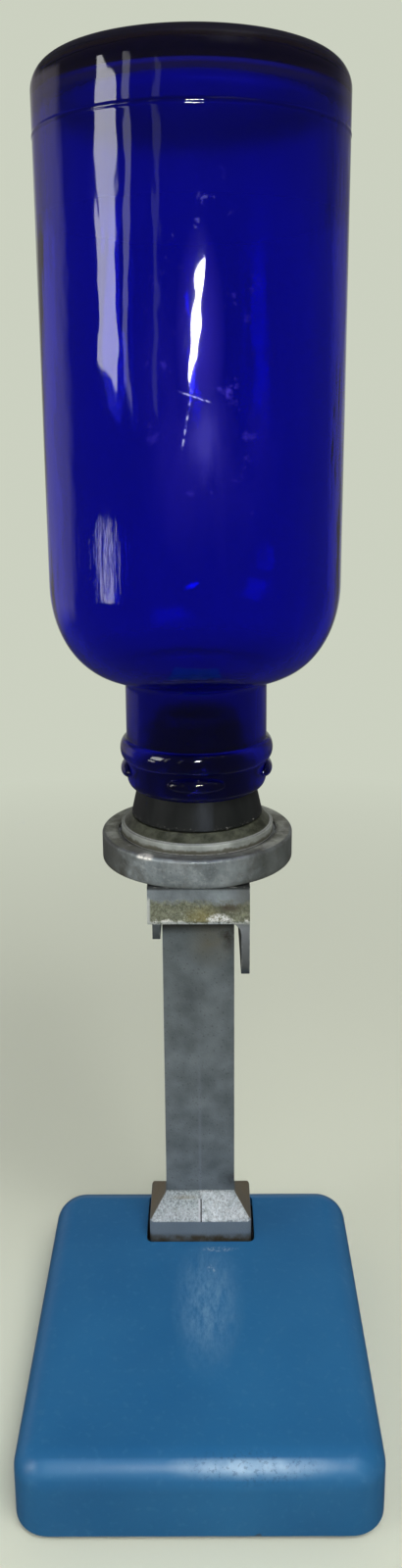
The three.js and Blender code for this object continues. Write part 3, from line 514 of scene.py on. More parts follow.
# Painted shade: a dark line along the right edge of the step; beside it on the left a painted highlight, a
# pale line.
parting = ramp(tree, away(tree, "X", 0.25 * MM), 0.32 * MM, 0.12 * MM)
tone = over(tree, tone, (0.02, 0.02, 0.022), parting, below_step)
step_edge_highlight = ramp(tree, away(tree, "X", -0.4 * MM), 0.35 * MM, 0.15 * MM)
tone = over(tree, tone, (0.6, 0.63, 0.66), step_edge_highlight, below_step)
feed(tree, shader, Base_Color=tone, Roughness=ramp(tree, flake, 0.0, 1.0, 0.42, 0.62))
relief(tree, shader, flake, 0.35, 0.3 * MM)

clothe(post, cast_grey, scraped)
for face in post.data.polygons:
    on_slope = foot_band_top - 0.6 * MM < face.center.z < foot_top + 0.4 * MM
    if on_slope and face.normal.y < -0.35 and face.center.y < post_front_y + 0.2 * MM:
        face.material_index = 1
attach(post, "stand")
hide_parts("post")

# Head
# A round casting screwed down on the post. Its top has a flat rim, a shallow groove and a boss for the tube;
# below it is milled out for the dose slide and the outlet plate.
head_radius, head_low, head_high = 28.7 * MM, 163.6 * MM, 172 * MM
head_round_top, head_round_low = 0.9 * MM, 0.5 * MM
ring_radius, groove_out, groove_deep, groove_round = 22.9 * MM, 23.7 * MM, 0.8 * MM, 0.4 * MM
boss_radius, ring_top = 17 * MM, 176.9 * MM
tube_hole, tube_seat = 10.3 * MM, 174.7 * MM
around = 128


def bow(middle, height, radius, start, end, steps):
    """Points of a round corner of a profile, as radius and height pairs."""
    angles = [start + (end - start) * k / steps for k in range(steps + 1)]
    return [(middle + radius * cos(a), height + radius * sin(a)) for a in angles]


def weld():
    """Merges points of the mesh being edited that coincide, turns its faces outward and ends the edit."""
    bpy.ops.mesh.select_all(action="SELECT")
    bpy.ops.mesh.remove_doubles(threshold=TINY)
    bpy.ops.mesh.normals_make_consistent(inside=False)
    bpy.ops.object.mode_set(mode="OBJECT")


def turned(name, profile, steps=around):
    """A profile drawn point by point beside the axis and spun round it."""
    clear()
    bpy.ops.mesh.primitive_plane_add(size=MM)
    piece = begin(name)
    bpy.ops.object.mode_set(mode="EDIT")
    bpy.ops.mesh.select_mode(type="VERT")
    bpy.ops.mesh.select_all(action="SELECT")
    bpy.ops.mesh.merge(type="CENTER")
    bpy.ops.transform.translate(value=(profile[0][0], 0, profile[0][1]))
    for (r0, z0), (r1, z1) in zip(profile, profile[1:]):
        bpy.ops.mesh.extrude_vertices_move(TRANSFORM_OT_translate={"value": (r1 - r0, 0, z1 - z0)})
    bpy.ops.mesh.select_all(action="SELECT")
    bpy.ops.mesh.spin(steps=steps, angle=2 * pi, center=(0, 0, 0), axis=(0, 0, 1))
    weld()
    return piece


head = turned("head_casting", [
    (0, head_low),
    *bow(head_radius - head_round_low, head_low + head_round_low, head_round_low, -pi / 2, 0, 5),
    *bow(head_radius - head_round_top, head_high - head_round_top, head_round_top, 0, pi / 2, 8),
    *bow(groove_out + groove_round, head_high - groove_round, groove_round, pi / 2, pi, 3),
    (groove_out, head_high - groove_deep),
    (boss_radius, head_high - groove_deep),
    (boss_radius, ring_top),
    (0, ring_top),
])
channel_low, channel_high = 164.8 * MM, 170.2 * MM
slide_half, slide_front, slide_back = 11 * MM, -23.4 * MM, 7.6 * MM
arm_in, arm_out, arm_front, arm_back = 8.9 * MM, 15.5 * MM, -4.9 * MM, 15.8 * MM
recess_radius, recess_half, recess_back = 26.7 * MM, 17.3 * MM, 1.3 * MM
way_half, way_front, way_back = 9 * MM, -7.4 * MM, -0.6 * MM
past = 2 * MM


def drum(name, radius, low, high, steps):
    """A plain cylinder on the axis, as a cutter."""
    return turned(name, [(0, low), (radius, low), (radius, high), (0, high)], steps)


for name, left, right, front, back in (
    ("slide_channel", -slide_half, slide_half, slide_front, slide_back),
    ("left_arm_channel", -arm_out, -arm_in, arm_front, arm_back),
    ("right_arm_channel", arm_in, arm_out, arm_front, arm_back),
):
    boolean(head, block(name, (left, front, head_low - past), (right, back, channel_high)))
recess = drum("outlet_recess", recess_radius, head_low - past, channel_low, 96)
limit = block(
    "recess_limit",
    (-recess_half, -head_radius, head_low - 2 * past),
    (recess_half, recess_back, channel_low + past),
)
boolean(recess, limit, "INTERSECT")
boolean(head, recess)
boolean(head, drum("tube_bore", tube_hole, tube_seat, ring_top + past, 64))
way = block("powder_way", (-way_half, way_front, channel_high - MM), (way_half, way_back, tube_seat + MM))
boolean(head, way)
smooth(head, 35)


def off_axis(tree):
    """Distance from the upright axis of the bottle."""
    return vector(tree, "LENGTH", vector(tree, "MULTIPLY", place(tree), (1, 1, 0)))


def wavering(tree, letter, reach, *noise):
    """A place along an axis of the object, put off by noise so that what ends there has a ragged edge."""
    return plus(tree, axis_of(tree, letter), ramp(tree, cloud(tree, *noise), 0.3, 0.7, -reach, reach))


head_grey, tree, shader = finish("head_casting", Metallic=0.65)
grain = use(tree, cast_grain, Size=0.9)
tone = tint(tree, ramp(tree, grain["Mottle"], 0.3, 0.7), (0.22, 0.255, 0.268), (0.52, 0.58, 0.61))
tone = over(tree, tone, (0.12, 0.1, 0.08), grain["Pits"], 0.3)
tone = over(tree, tone, (0.64, 0.68, 0.69), ramp(tree, cloud(tree, 600.0, 6.0, 0.7), 0.5, 0.7, 0.0, 0.5))
# Painted shade: the head darker and olive to the left and right of its lit middle.
across = wavering(tree, "X", 4 * MM, 200.0, 5.0, 0.6)
darker_sides = most(tree, ramp(tree, across, -14 * MM, -22 * MM), ramp(tree, across, 5 * MM, 19 * MM, 0.0, 0.8))
tone = over(tree, tone, (0.075, 0.074, 0.055), darker_sides, 0.8)
from_middle = off_axis(tree)
on_top = between(tree, "Z", head_high - 0.7 * MM, head_high - 0.1 * MM)
inside = ramp(tree, from_middle, head_radius - 0.5 * MM, head_radius - 1.1 * MM)
pale = tint(tree, spots(tree, 0.4, 0.62, 170.0, 6.0, 0.65), (0.19, 0.19, 0.155), (0.55, 0.565, 0.51))
grime = tint(tree, between(tree, "Y", -26 * MM, -19 * MM), (0.075, 0.075, 0.08), pale)
dirt = ramp(tree, cloud(tree, 240.0, 6.0, 0.65), 0.25, 0.6, 0.6, 1.0)
tone = over(tree, tone, grime, on_top, inside, dirt, 0.92)
crack = ramp(tree, from_middle, groove_out + 1.2 * MM, groove_out)
tone = over(tree, tone, (0.03, 0.027, 0.02), on_top, crack)
tone = over(tree, tone, (0.13, 0.122, 0.095), spots(tree, 0.5, 0.68, 130.0, 6.0, 0.65), 0.5)
low_edge = between(tree, "Z", head_low + 1.6 * MM, head_low + 0.3 * MM)
tone = over(tree, tone, (0.1, 0.095, 0.075), low_edge, 0.45)
# Worn edges round the upper head, brightened into a painted highlight along the rim.
wear = use(tree, worn_edges, Radius=0.9 * MM, Break_Scale=380.0, Cover=0.6)
upper = between(tree, "Z", head_low + 4 * MM, head_high - 1 * MM)
tone = over(tree, tone, (0.78, 0.81, 0.84), wear["Worn"], upper, 0.9)
glint = patch(tree, (-14.8 * MM, -24.4 * MM, head_high - 0.6 * MM), (3.4 * MM, 3 * MM, 2 * MM))
on_rim = between(tree, "Z", head_high - 1.3 * MM, head_high - 0.7 * MM)
glint = times(tree, ramp(tree, glint, 0.1, 0.5), on_rim)
tone = over(tree, tone, (0.97, 0.95, 0.88), glint, spots(tree, 0.35, 0.5, 700.0, 6.0, 0.7))
feed(tree, shader, Base_Color=tone, Roughness=ramp(tree, grain["Mottle"], 0.3, 0.7, 0.4, 0.52))
relief(tree, shader, grain["Grain"], 0.3, 0.4 * MM)
clothe(head, head_grey)
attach(head, "stand")
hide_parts("head_disc")
clothe(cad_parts["outlet_plate"], cast_grey)

# Seat ring
# A turned ring round the boss of the head, with an upright rim and a low cone on which the stopper sits.
# The cone is stained brown by years of damp powder, and painted darker still as shade.
ring_step, ring_low, ring_bore = 174.5 * MM, 171.5 * MM, 17.3 * MM
ring_round, ring_rim, stopper_foot = 0.4 * MM, 0.8 * MM, 19.6 * MM
ring = turned("seat_collar", [
    (ring_bore, ring_low),
    (ring_radius, ring_low),
    *bow(ring_radius - ring_round, ring_step - ring_round, ring_round, 0, pi / 2, 4),
    (ring_radius - ring_rim, ring_step),
    (stopper_foot, ring_top),
    (ring_bore, ring_top),
    (ring_bore, ring_low),
])
smooth(ring, 30)
stained, tree, shader = finish("stained_metal", Metallic=0.5)
grain = use(tree, cast_grain, Size=1.2)
tone = tint(tree, ramp(tree, grain["Mottle"], 0.3, 0.7), (0.24, 0.265, 0.245), (0.58, 0.62, 0.58))
# Painted shade: the ring darker and olive to the left and right of its lit middle.
across = wavering(tree, "X", 4 * MM, 260.0, 5.0, 0.6)
darker_sides = most(tree, ramp(tree, across, -8 * MM, -14 * MM), ramp(tree, across, 8 * MM, 16 * MM))
tone = over(tree, tone, (0.19, 0.19, 0.15), darker_sides, 0.4)
height = wavering(tree, "Z", 0.5 * MM, 500.0, 5.0, 0.6)
foot = ramp(tree, height, head_high + 1.1 * MM, head_high + 0.4 * MM, 0.0, 0.85)
tone = over(tree, tone, (0.11, 0.104, 0.068), foot)
# Brown stain on the cone, darkened further with painted shade.
brown = tint(tree, spots(tree, 0.36, 0.64, 300.0, 6.0, 0.65), (0.026, 0.029, 0.015), (0.105, 0.113, 0.078))
tone = over(tree, tone, brown, between(tree, "Z", ring_step - 0.1 * MM, ring_step + 0.3 * MM, 0.0, 0.96))
# Worn top edge of the rim, brightened into a painted highlight.
wear = use(tree, worn_edges, Radius=0.6 * MM, Break_Scale=420.0, Cover=0.7)
rim = between(tree, "Z", ring_step + 0.6 * MM, ring_step + 0.2 * MM)
tone = over(tree, tone, (0.85, 0.86, 0.84), wear["Worn"], rim, 0.9)
feed(tree, shader, Base_Color=tone, Roughness=ramp(tree, grain["Mottle"], 0.3, 0.7, 0.42, 0.6))
relief(tree, shader, grain["Grain"], 0.3, 0.4 * MM)
clothe(ring, stained)
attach(ring, "stand")
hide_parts("seat_ring")

# Stopper and feed tube
# A tapered plug of hard black rubber with the brass feed tube through it. The tube's collar clamps the plug
# on the head, and the bottle's neck is pushed over the taper.
stopper_low, stopper_high = 177.2 * MM, 206 * MM
stopper_tip, foot_edge, tip_edge = 13.494 * MM, 0.5 * MM, 1 * MM
stopper = turned("rubber_plug", [
    (tube_hole, stopper_low),
    *bow(stopper_foot - foot_edge, stopper_low + foot_edge, foot_edge, -pi / 2, 0, 4),
    *bow(stopper_tip - tip_edge, stopper_high - tip_edge, tip_edge, 0, pi / 2, 5),
    (tube_hole, stopper_high),
    (tube_hole, stopper_low),
], 96)
smooth(stopper, 40)
rubber, tree, shader = finish("hard_rubber", Metallic=0.0, IOR=1.5, Specular_IOR_Level=0.3)
bands = cloud(tree, 260.0, 4.0, 0.6, stretched(tree, 1, 1, 0.12))
tone = tint(tree, bands, (0.006, 0.007, 0.007), (0.018, 0.02, 0.02))
# Painted sheen: a faint bluish band down the front of the plug.
sheen_patch = band(tree, "X", -2 * MM, 1 * MM, 4.4 * MM, 5.2 * MM)
sheen_patch = times(tree, sheen_patch, between(tree, "Y", -10 * MM, -12 * MM))
tone = over(tree, tone, (0.032, 0.037, 0.046), sheen_patch, ramp(tree, bands, 0.35, 0.65, 0.2, 0.8))
powder = between(tree, "Z", stopper_low + 1.6 * MM, stopper_low)
tone = over(tree, tone, (0.6, 0.58, 0.52), powder, spots(tree, 0.62, 0.68, 1300.0, 4.0, 0.7))
feed(tree, shader, Base_Color=tone, Roughness=ramp(tree, bands, 0.3, 0.7, 0.38, 0.52))
relief(tree, shader, bands, 0.2, 0.5 * MM)
clothe(stopper, rubber)
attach(stopper, "stand")
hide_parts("stopper")

brass, tree, shader = finish("dull_brass", Metallic=1.0)
rub = cloud(tree, 320.0, 6.0, 0.65)
tone = tint(tree, rub, (0.35, 0.23, 0.08), (0.62, 0.45, 0.19))
feed(tree, shader, Base_Color=tone, Roughness=ramp(tree, rub, 0.3, 0.7, 0.28, 0.48))
for name in ("feed_tube", "dose_slide", "pivot_washer"):
    clothe(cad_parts[name], brass)

# Bottle
# Pressed deep blue glass, standing on its mouth: heel, straight body, round shoulder, neck with a bead ring
# and four lugs, and a rounded lip. A fine ring near the heel marks where the mould was parted, and powder
# has fogged the inside near the neck and near the floor.
lip_z, bottle_top = 185.8 * MM, 380.2 * MM
body_radius, glass_thick, glass_floor = 41.65 * MM, 3.4 * MM, 7 * MM
heel_radius, foot_rim, rim_round, punt = 7 * MM, 29 * MM, 1.2 * MM, 3 * MM
shoulder_z, shoulder_run, shoulder_rise = 246.5 * MM, 19.65 * MM, 27 * MM
neck_radius, neck_thick, neck_fillet = 20.8 * MM, 2.9 * MM, 3 * MM
mouth_radius, lip_round, lip_rise = 18.177 * MM, 2.4 * MM, 3.4 * MM
bead_z, bead_out, bead_half = 197.7 * MM, 1.9 * MM, 3.3 * MM
seam_z, seam_out, seam_half = 362.6 * MM, 0.15 * MM, 0.85 * MM
shoulder_middle = body_radius - shoulder_run
neck_top = shoulder_z - shoulder_rise


def shoulder(run, rise, steps):
    angles = [pi / 2 * (1 - k / steps) for k in range(steps + 1)]
    return [(shoulder_middle + run * cos(a), shoulder_z - rise * sin(a)) for a in angles]


def ridge(radius, height, out, half, steps):
    """A rounded ring standing out of an upright wall."""
    angles = [-pi / 2 + pi * k / steps for k in range(steps + 1)]
    return [(radius + out * cos(a), height + half * sin(a)) for a in angles]


def swell(radius, height, out, half, steps):
    """A low ring that rises softly out of an upright wall and falls back."""
    shares = [k / steps for k in range(steps + 1)]
    return [(radius + out * (0.5 - 0.5 * cos(2 * pi * t)), height + half * (2 * t - 1)) for t in shares]


outside = [
    (mouth_radius, lip_z),
    *[
        (neck_radius - lip_round * (1 - x), lip_z + lip_rise * (1 + z))
        for x, z in bow(0, 0, 1, -pi / 2, 0, 8)
    ],
    *ridge(neck_radius, bead_z, bead_out, bead_half, 12),
    *bow(neck_radius + neck_fillet, neck_top - neck_fillet, neck_fillet, pi, pi / 2, 8),
    *shoulder(shoulder_run, shoulder_rise, 20)[2:],
    (body_radius, seam_z - 1.3 * seam_half),
    *swell(body_radius, seam_z, seam_out, seam_half, 24),
    (body_radius, seam_z + 1.3 * seam_half),
    *bow(body_radius - heel_radius, bottle_top - heel_radius, heel_radius, 0, pi / 2, 14),
    (foot_rim + rim_round, bottle_top),
    *bow(foot_rim, bottle_top - rim_round, rim_round, pi / 2, 3 * pi / 4, 3),
    (foot_rim - 4 * MM, bottle_top - 0.75 * punt),
    (foot_rim / 2, bottle_top - 0.95 * punt),
    (0, bottle_top - punt),
]
inner_neck, inner_body = neck_radius - neck_thick, body_radius - glass_thick
inner_top = bottle_top - glass_floor
inside_wall = [
    (mouth_radius, lip_z),
    (mouth_radius, lip_z + lip_rise / 3),
    (inner_neck, lip_z + lip_rise),
    *bow(neck_radius + neck_fillet, neck_top - neck_fillet, neck_fillet + neck_thick, pi, pi / 2, 8),
    *shoulder(shoulder_run - glass_thick, shoulder_rise - glass_thick, 16)[2:],
    *bow(inner_body - heel_radius, inner_top - heel_radius, heel_radius, 0, pi / 2, 10),
    (foot_rim / 2, inner_top),
    (0, inner_top),
]
bottle = turned("glass_bottle", outside)
lining = turned("glass_inside", inside_wall)
grab(bottle)
lining.select_set(True)
bpy.ops.object.join()
edit(bottle)
weld()
lug_z, lug_reach, lug_size = 191.4 * MM, 19.7 * MM, Vector((8.3, 2.9, 2.6)) * MM
core_radius, core_half = 19.35 * MM, 10 * MM
for quarter in range(4):
    clear()
    turn = quarter * pi / 2
    spot = Matrix.Rotation(turn, 4, "Z") @ Vector((0, -lug_reach, lug_z))
    bpy.ops.mesh.primitive_uv_sphere_add(
        segments=32, ring_count=16, radius=1, location=spot, rotation=(0, 0, turn), scale=lug_size
    )
    lug = begin("lug")
    boolean(lug, drum("lug_core", core_radius, lug_z - core_half, lug_z + core_half, around))
    boolean(bottle, lug, "UNION")
smooth(bottle, 40)

glass, tree, shader = finish("blue_glass", Metallic=0.0, Transmission_Weight=1.0, IOR=1.52)
sway = stretched(tree, 1, 1, 0.3)
streaks = cloud(tree, 55.0, 3.0, 0.5, sway)
tone = tint(tree, streaks, (0.006, 0.008, 0.52), (0.016, 0.016, 0.7))
from_axis = off_axis(tree)
thick = between(tree, "Z", bottle_top - 11 * MM, bottle_top - 8.5 * MM)
thick = times(tree, thick, ramp(tree, from_axis, body_radius - 2.4 * MM, body_radius - 1.4 * MM))
rounded = between(tree, "Z", inner_top + 0.1 * MM, inner_top + 0.8 * MM)
rounded = times(tree, rounded, ramp(tree, from_axis, foot_rim, foot_rim + 5 * MM))
thick = most(tree, thick, rounded)
tone = over(tree, tone, (0.012, 0.007, 0.009), thick, 0.993)
narrow = between(tree, "Z", neck_top + 9 * MM, neck_top - 2 * MM)
tone = over(tree, tone, (0.004, 0.004, 0.2), narrow, 0.55)
parting = ramp(tree, away(tree, "Z", seam_z), 0.9 * MM, 0.3 * MM, 0.0, 0.7)
parting = times(tree, parting, ramp(tree, from_axis, body_radius - 1.2 * MM, body_radius - 0.4 * MM))
tone = over(tree, tone, (0.003, 0.003, 0.14), parting)
shaded = between(tree, "X", 33 * MM, 40 * MM, 0.0, 0.3)
tone = over(tree, tone, (0.006, 0.004, 0.14), shaded)
haze = ramp(tree, cloud(tree, 75.0, 6.0, 0.6, sway), 0.5, 0.75, 0.04, 0.1)
out = minus(tree, from_axis, shoulder_middle)
out = maths(tree, "DIVIDE", out, shoulder_run - glass_thick / 2)
down = minus(tree, axis_of(tree, "Z"), shoulder_z)
down = maths(tree, "DIVIDE", maths(tree, "MINIMUM", down, 0.0), shoulder_rise - glass_thick / 2)
lined = ramp(tree, plus(tree, times(tree, out, out), times(tree, down, down)), 1.12, 1.04)
lined = most(tree, lined, ramp(tree, from_axis, inner_neck + 2 * MM, inner_neck + 1 * MM))
fog = between(tree, "Z", neck_top + 24 * MM, neck_top + 6 * MM, 0.0, 0.3)
fog = most(tree, fog, between(tree, "Z", bottle_top - 46 * MM, bottle_top - 36 * MM, 0.0, 0.3))
feed(tree, shader, Base_Color=tone, Roughness=most(tree, haze, times(tree, lined, fog)))
ripples = cloud(tree, 900.0, 3.0, 0.6, stretched(tree, 1, 1, 0.06))
ripples = times(tree, ripples, patch(tree, (-23.3 * MM, -34.5 * MM, 257 * MM), (14 * MM, 14 * MM, 17 * MM)))
relief(tree, shader, plus(tree, streaks, times(tree, ripples, 0.3)), 0.2, 3 * MM)
clothe(bottle, glass)
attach(bottle, "bottle")
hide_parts("bottle")

# Powder film
# Dried powder smears the front of the glass in soft clouds and run-down streaks. It is a skin on the wall,
# clear wherever the glass is clean.
# Round the lamp's streak the skin also carries a faint painted glow.
film_out, film_front, film_depth = 0.05 * MM, -41 * MM, 40 * MM
film = turned("powder_film", [
    (body_radius + film_out, shoulder_z + 2 * MM),
    (body_radius + film_out, seam_z - 6 * MM),
], 96)
smooth(film, 40)
dust, tree, shader = finish("powder_dust", Metallic=0.0, Roughness=0.9)
run_down = stretched(tree, 1, 1, 0.25)
clouds = spots(tree, 0.46, 0.72, 60.0, 6.0, 0.6, run_down)
specks = spots(tree, 0.6, 0.72, 210.0, 5.0, 0.65)
smeared = patch(tree, (4 * MM, film_front, 298 * MM), (20 * MM, film_depth, 46 * MM))
spotted = patch(tree, (-0.5 * MM, film_front, 338 * MM), (12 * MM, film_depth, 21 * MM))
film_share = most(tree, times(tree, clouds, 0.3), specks)
film_share = most(tree, times(tree, film_share, smeared), times(tree, specks, spotted))


def scratch(tree, along, across, start, slope, low, high):
    """A thin slanting line on the front of the glass: across runs off by the slope from its start."""
    line = plus(tree, times(tree, minus(tree, axis_of(tree, along), low), slope), start)
    inside = band(tree, along, low - 0.3 * MM, low + 2 * MM, high - 2 * MM, high)
    inside = times(tree, inside, between(tree, "Y", -30 * MM, -35 * MM))
    return times(tree, ramp(tree, away(tree, across, line), 0.5 * MM, 0.1 * MM), inside)


bruise = most(
    tree,
    scratch(tree, "Z", "X", -2.6 * MM, 0.18, 284.5 * MM, 297.2 * MM),
    scratch(tree, "X", "Z", 298.4 * MM, -0.33, -3.2 * MM, 5.4 * MM),
)
bruise = times(tree, bruise, spots(tree, 0.35, 0.6, 900.0, 3.0, 0.6))
# Painted glow: a faint violet haze round the lamp's streak, joined below by a soft powder smudge.
glow_and_smudge = times(tree, patch(tree, (2 * MM, film_front, 310 * MM), (6.2 * MM, film_depth, 27 * MM)), 0.15)
smudge = patch(tree, (3.4 * MM, film_front, 287 * MM), (7.5 * MM, film_depth, 16 * MM))
smudge = times(tree, smudge, ramp(tree, cloud(tree, 120.0, 5.0, 0.6, run_down), 0.36, 0.64, 0.02, 0.17))
glow_and_smudge = most(tree, glow_and_smudge, smudge)
pale = most(tree, most(tree, bruise, times(tree, specks, spotted)), smudge)
# Violet where the film stands for powder seen through blue glass and for the painted glow; paler on
# scratches, specks and the smudge.
tone = tint(tree, pale, (0.1, 0.06, 0.95), (0.5, 0.52, 0.85))
cover = most(tree, times(tree, film_share, 0.3), times(tree, bruise, 0.6))
feed(tree, shader, Base_Color=tone, Alpha=most(tree, cover, glow_and_smudge))
clothe(film, dust)
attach(film, "bottle")

# Trigger yoke
# One casting under the head: a front plate with a flared strip for the thumb, a full right cheek, a left
# cheek cut back to an ear and a bridge behind the post. It swings on a steel pin through the post.
thumb_low, thumb_high, plate_y, cheek_in = 152 * MM, 158 * MM, -26 * MM, 10 * MM


def enter(name, data):
    """A new object in the scene around a mesh, curve, light or camera."""
    made = bpy.data.objects.new(name, data)
    bpy.context.scene.collection.objects.link(made)
    return made


yoke = enter("trigger_casting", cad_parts["trigger_yoke"].data.copy())
edit(yoke)
bpy.ops.mesh.select_all(action="SELECT")
bpy.ops.mesh.remove_doubles(threshold=TINY)
bpy.ops.mesh.dissolve_limited(angle_limit=radians(1))
bpy.ops.object.mode_set(mode="OBJECT")
bpy.ops.mesh.customdata_custom_splitnormals_clear()
soften(yoke, 0.35 * MM, 3, 30)
smooth(yoke, 30)

corroded, tree, shader = finish("corroded_casting", Metallic=0.55)
grain = use(tree, cast_grain, Size=1.0)
tone = tint(tree, ramp(tree, grain["Mottle"], 0.32, 0.68), (0.12, 0.14, 0.155), (0.34, 0.39, 0.42))
# Darker towards the right end of the yoke.
darker_sides = ramp(tree, plus(tree, axis_of(tree, "X"), times(tree, cloud(tree, 300.0), 6 * MM)), 11 * MM, 16 * MM)
tone = over(tree, tone, (0.11, 0.11, 0.1), darker_sides, 0.6)
height = wavering(tree, "Z", 1.5 * MM, 420.0, 6.0, 0.7)
front = between(tree, "Y", plate_y + 4 * MM, plate_y + 2 * MM)
strip = times(tree, ramp(tree, height, thumb_high + 1.4 * MM, thumb_high - 0.6 * MM), front)
strip = times(tree, strip, between(tree, "Z", thumb_low - 1.5 * MM, thumb_low - 0.5 * MM))
crust = tint(tree, spots(tree, 0.34, 0.66, 760.0, 10.0, 0.8), (0.035, 0.037, 0.018), (0.37, 0.39, 0.27))
golden = patch(tree, (1.5 * MM, plate_y, thumb_low + 2 * MM), (6 * MM, 5 * MM, 4 * MM))
crust = over(tree, crust, (0.36, 0.3, 0.08), golden, cloud(tree, 500.0, 6.0, 0.7))
rusty = patch(tree, (9 * MM, plate_y, thumb_high - 0.5 * MM), (6 * MM, 5 * MM, 3.4 * MM))
crust = over(tree, crust, (0.075, 0.055, 0.035), rusty, spots(tree, 0.35, 0.6, 380.0, 6.0, 0.7))
tone = over(tree, tone, crust, strip, 0.94)
fleck = cloud(tree, 1500.0, 6.0, 0.75)
on_plate = times(tree, front, between(tree, "Z", thumb_low - 0.6 * MM, thumb_low - 0.2 * MM))
rim = times(tree, ramp(tree, height, thumb_low + 1.3 * MM, thumb_low + 0.5 * MM), on_plate)
# White flecks along the strip's lower edge: bare worn metal, brightened as a painted highlight.
low_down = ramp(tree, height, thumb_low + 4.5 * MM, thumb_low + 0.4 * MM)
white = times(tree, ramp(tree, fleck, 0.57, 0.64), low_down, on_plate)
white = most(tree, white, times(tree, rim, ramp(tree, fleck, 0.36, 0.48)))
tone = over(tree, tone, (0.85, 0.85, 0.8), white)
left_edge = between(tree, "X", -13.2 * MM, -13.7 * MM)
below_head = ramp(tree, height, thumb_high + 2 * MM, thumb_high)
tone = over(tree, tone, (0.66, 0.69, 0.68), left_edge, below_head, on_plate, 0.8)
# A near-white patch on the strip: metal rubbed bare, with a painted highlight.
sheen_patch = patch(tree, (6.2 * MM, plate_y - 0.5 * MM, thumb_low + 1.2 * MM), (4.4 * MM, 4 * MM, 2.5 * MM))
sheen_patch = ramp(tree, times(tree, sheen_patch, on_plate), 0.1, 0.5)
tone = over(tree, tone, (0.92, 0.93, 0.92), sheen_patch, ramp(tree, fleck, 0.42, 0.56))
# Painted shadow: a dark line along the top of the plate, under the head.
shadow_under_head = between(tree, "Z", 162.1 * MM, 162.7 * MM)
tone = over(tree, tone, (0.02, 0.021, 0.02), shadow_under_head, 0.85)
# Painted light: the front of the right cheek paler towards the top.
on_right = between(tree, "X", cheek_in, cheek_in + 0.5 * MM)
cheek = times(tree, between(tree, "Z", 137 * MM, 150 * MM, 0.1, 0.7), on_right)
cheek = times(tree, cheek, front, between(tree, "Z", thumb_low + 0.2 * MM, thumb_low - 0.4 * MM))
tone = over(tree, tone, (0.36, 0.38, 0.41), cheek)
# Painted shade: the inner face of the right cheek, facing the post, nearly black.
normal = put(tree, "ShaderNodeNewGeometry").outputs["Normal"]
facing = put(tree, "ShaderNodeSeparateXYZ", Vector=normal).outputs["X"]
tone = over(tree, tone, (0.012, 0.012, 0.011), ramp(tree, facing, -0.3, -0.8), on_right, 0.9)
shade = between(tree, "Z", thumb_low, 136 * MM)
tone = over(tree, tone, (0.05, 0.05, 0.045), shade, 0.6)
wear = use(tree, worn_edges, Radius=0.8 * MM, Break_Scale=500.0, Cover=0.5)
tone = over(tree, tone, (0.5, 0.51, 0.48), wear["Worn"], 0.6)
feed(tree, shader, Base_Color=tone, Roughness=ramp(tree, grain["Mottle"], 0.3, 0.7, 0.42, 0.6))
rough = plus(tree, times(tree, grain["Grain"], 0.4), times(tree, strip, cloud(tree, 1300.0, 6.0, 0.75)))
relief(tree, shader, rough, 0.4, 0.5 * MM)
clothe(yoke, corroded)
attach(yoke, "trigger")
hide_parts("trigger_yoke")

# Return spring
# A tension spring of steel wire behind the post, hooked over a screw in the post and one in the yoke's
# bridge. It stretches when the trigger swings.
spring_y, spring_low, spring_high = 22.8 * MM, 107 * MM, 138.6 * MM
wire_radius, coil_radius, coil_turns = 0.45 * MM, 3 * MM, 12
hook_radius, hook_rise = 2.3 * MM, 4.6 * MM
hook_wrap, hook_leave, hook_steps, turn_steps = 250, 20, 20, 24


def hook(height, start):
    angles = [radians(start + hook_wrap * k / hook_steps) for k in range(hook_steps + 1)]
    return [(hook_radius * cos(a), spring_y, height + hook_radius * sin(a)) for a in angles]


coil_low, coil_high = spring_low + hook_rise, spring_high - hook_rise
coil_steps = coil_turns * turn_steps
coil = [
    (
        coil_radius * cos(2 * pi * k / turn_steps),
        spring_y + coil_radius * sin(2 * pi * k / turn_steps),
        coil_low + (coil_high - coil_low) * k / coil_steps,
    )
    for k in range(coil_steps + 1)
]
line = hook(spring_low, hook_leave - hook_wrap) + coil + hook(spring_high, -hook_leave)
wire = bpy.data.curves.new("spring_wire", "CURVE")
wire.dimensions = "3D"
wire.bevel_depth = wire_radius
wire.bevel_resolution = 3
wire.use_fill_caps = True
path = wire.splines.new("POLY")
path.points.add(len(line) - 1)
for point, at in zip(path.points, line):
    point.co = (*at, 1)
grab(enter("coiled_spring", wire))
bpy.ops.object.convert(target="MESH")
spring = bpy.context.object
smooth(spring, 60)
clothe(spring, steel)
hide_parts("return_spring")
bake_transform(spring)

# Floor, light and camera
# A pale floor that fades into the backdrop, and studio light: a soft front light, a window of four panes at
# the left, and a small soft lamp by the lens that puts the streak on the glass. Polished pieces mirror a dim
# room instead of the backdrop.
clear()
bpy.ops.mesh.primitive_circle_add(vertices=96, radius=3, fill_type="NGON", location=(0, 0, 0))
floor = begin("floor")
backdrop, dim_room, room_wall = (0.6, 0.635, 0.53), (0.06, 0.06, 0.06), (0.47, 0.43, 0.48)


def path_of(tree):
    """Shares of rays: those that meet the backdrop, and those that a surface mirrored."""
    kind = put(tree, "ShaderNodeLightPath").outputs
    seen = most(tree, kind["Is Camera Ray"], kind["Is Glossy Ray"])
    seen = most(tree, seen, kind["Is Transmission Ray"])
    mirrored = minus(tree, kind["Is Glossy Ray"], kind["Is Transmission Ray"])
    return seen, most(tree, mirrored, 0.0)


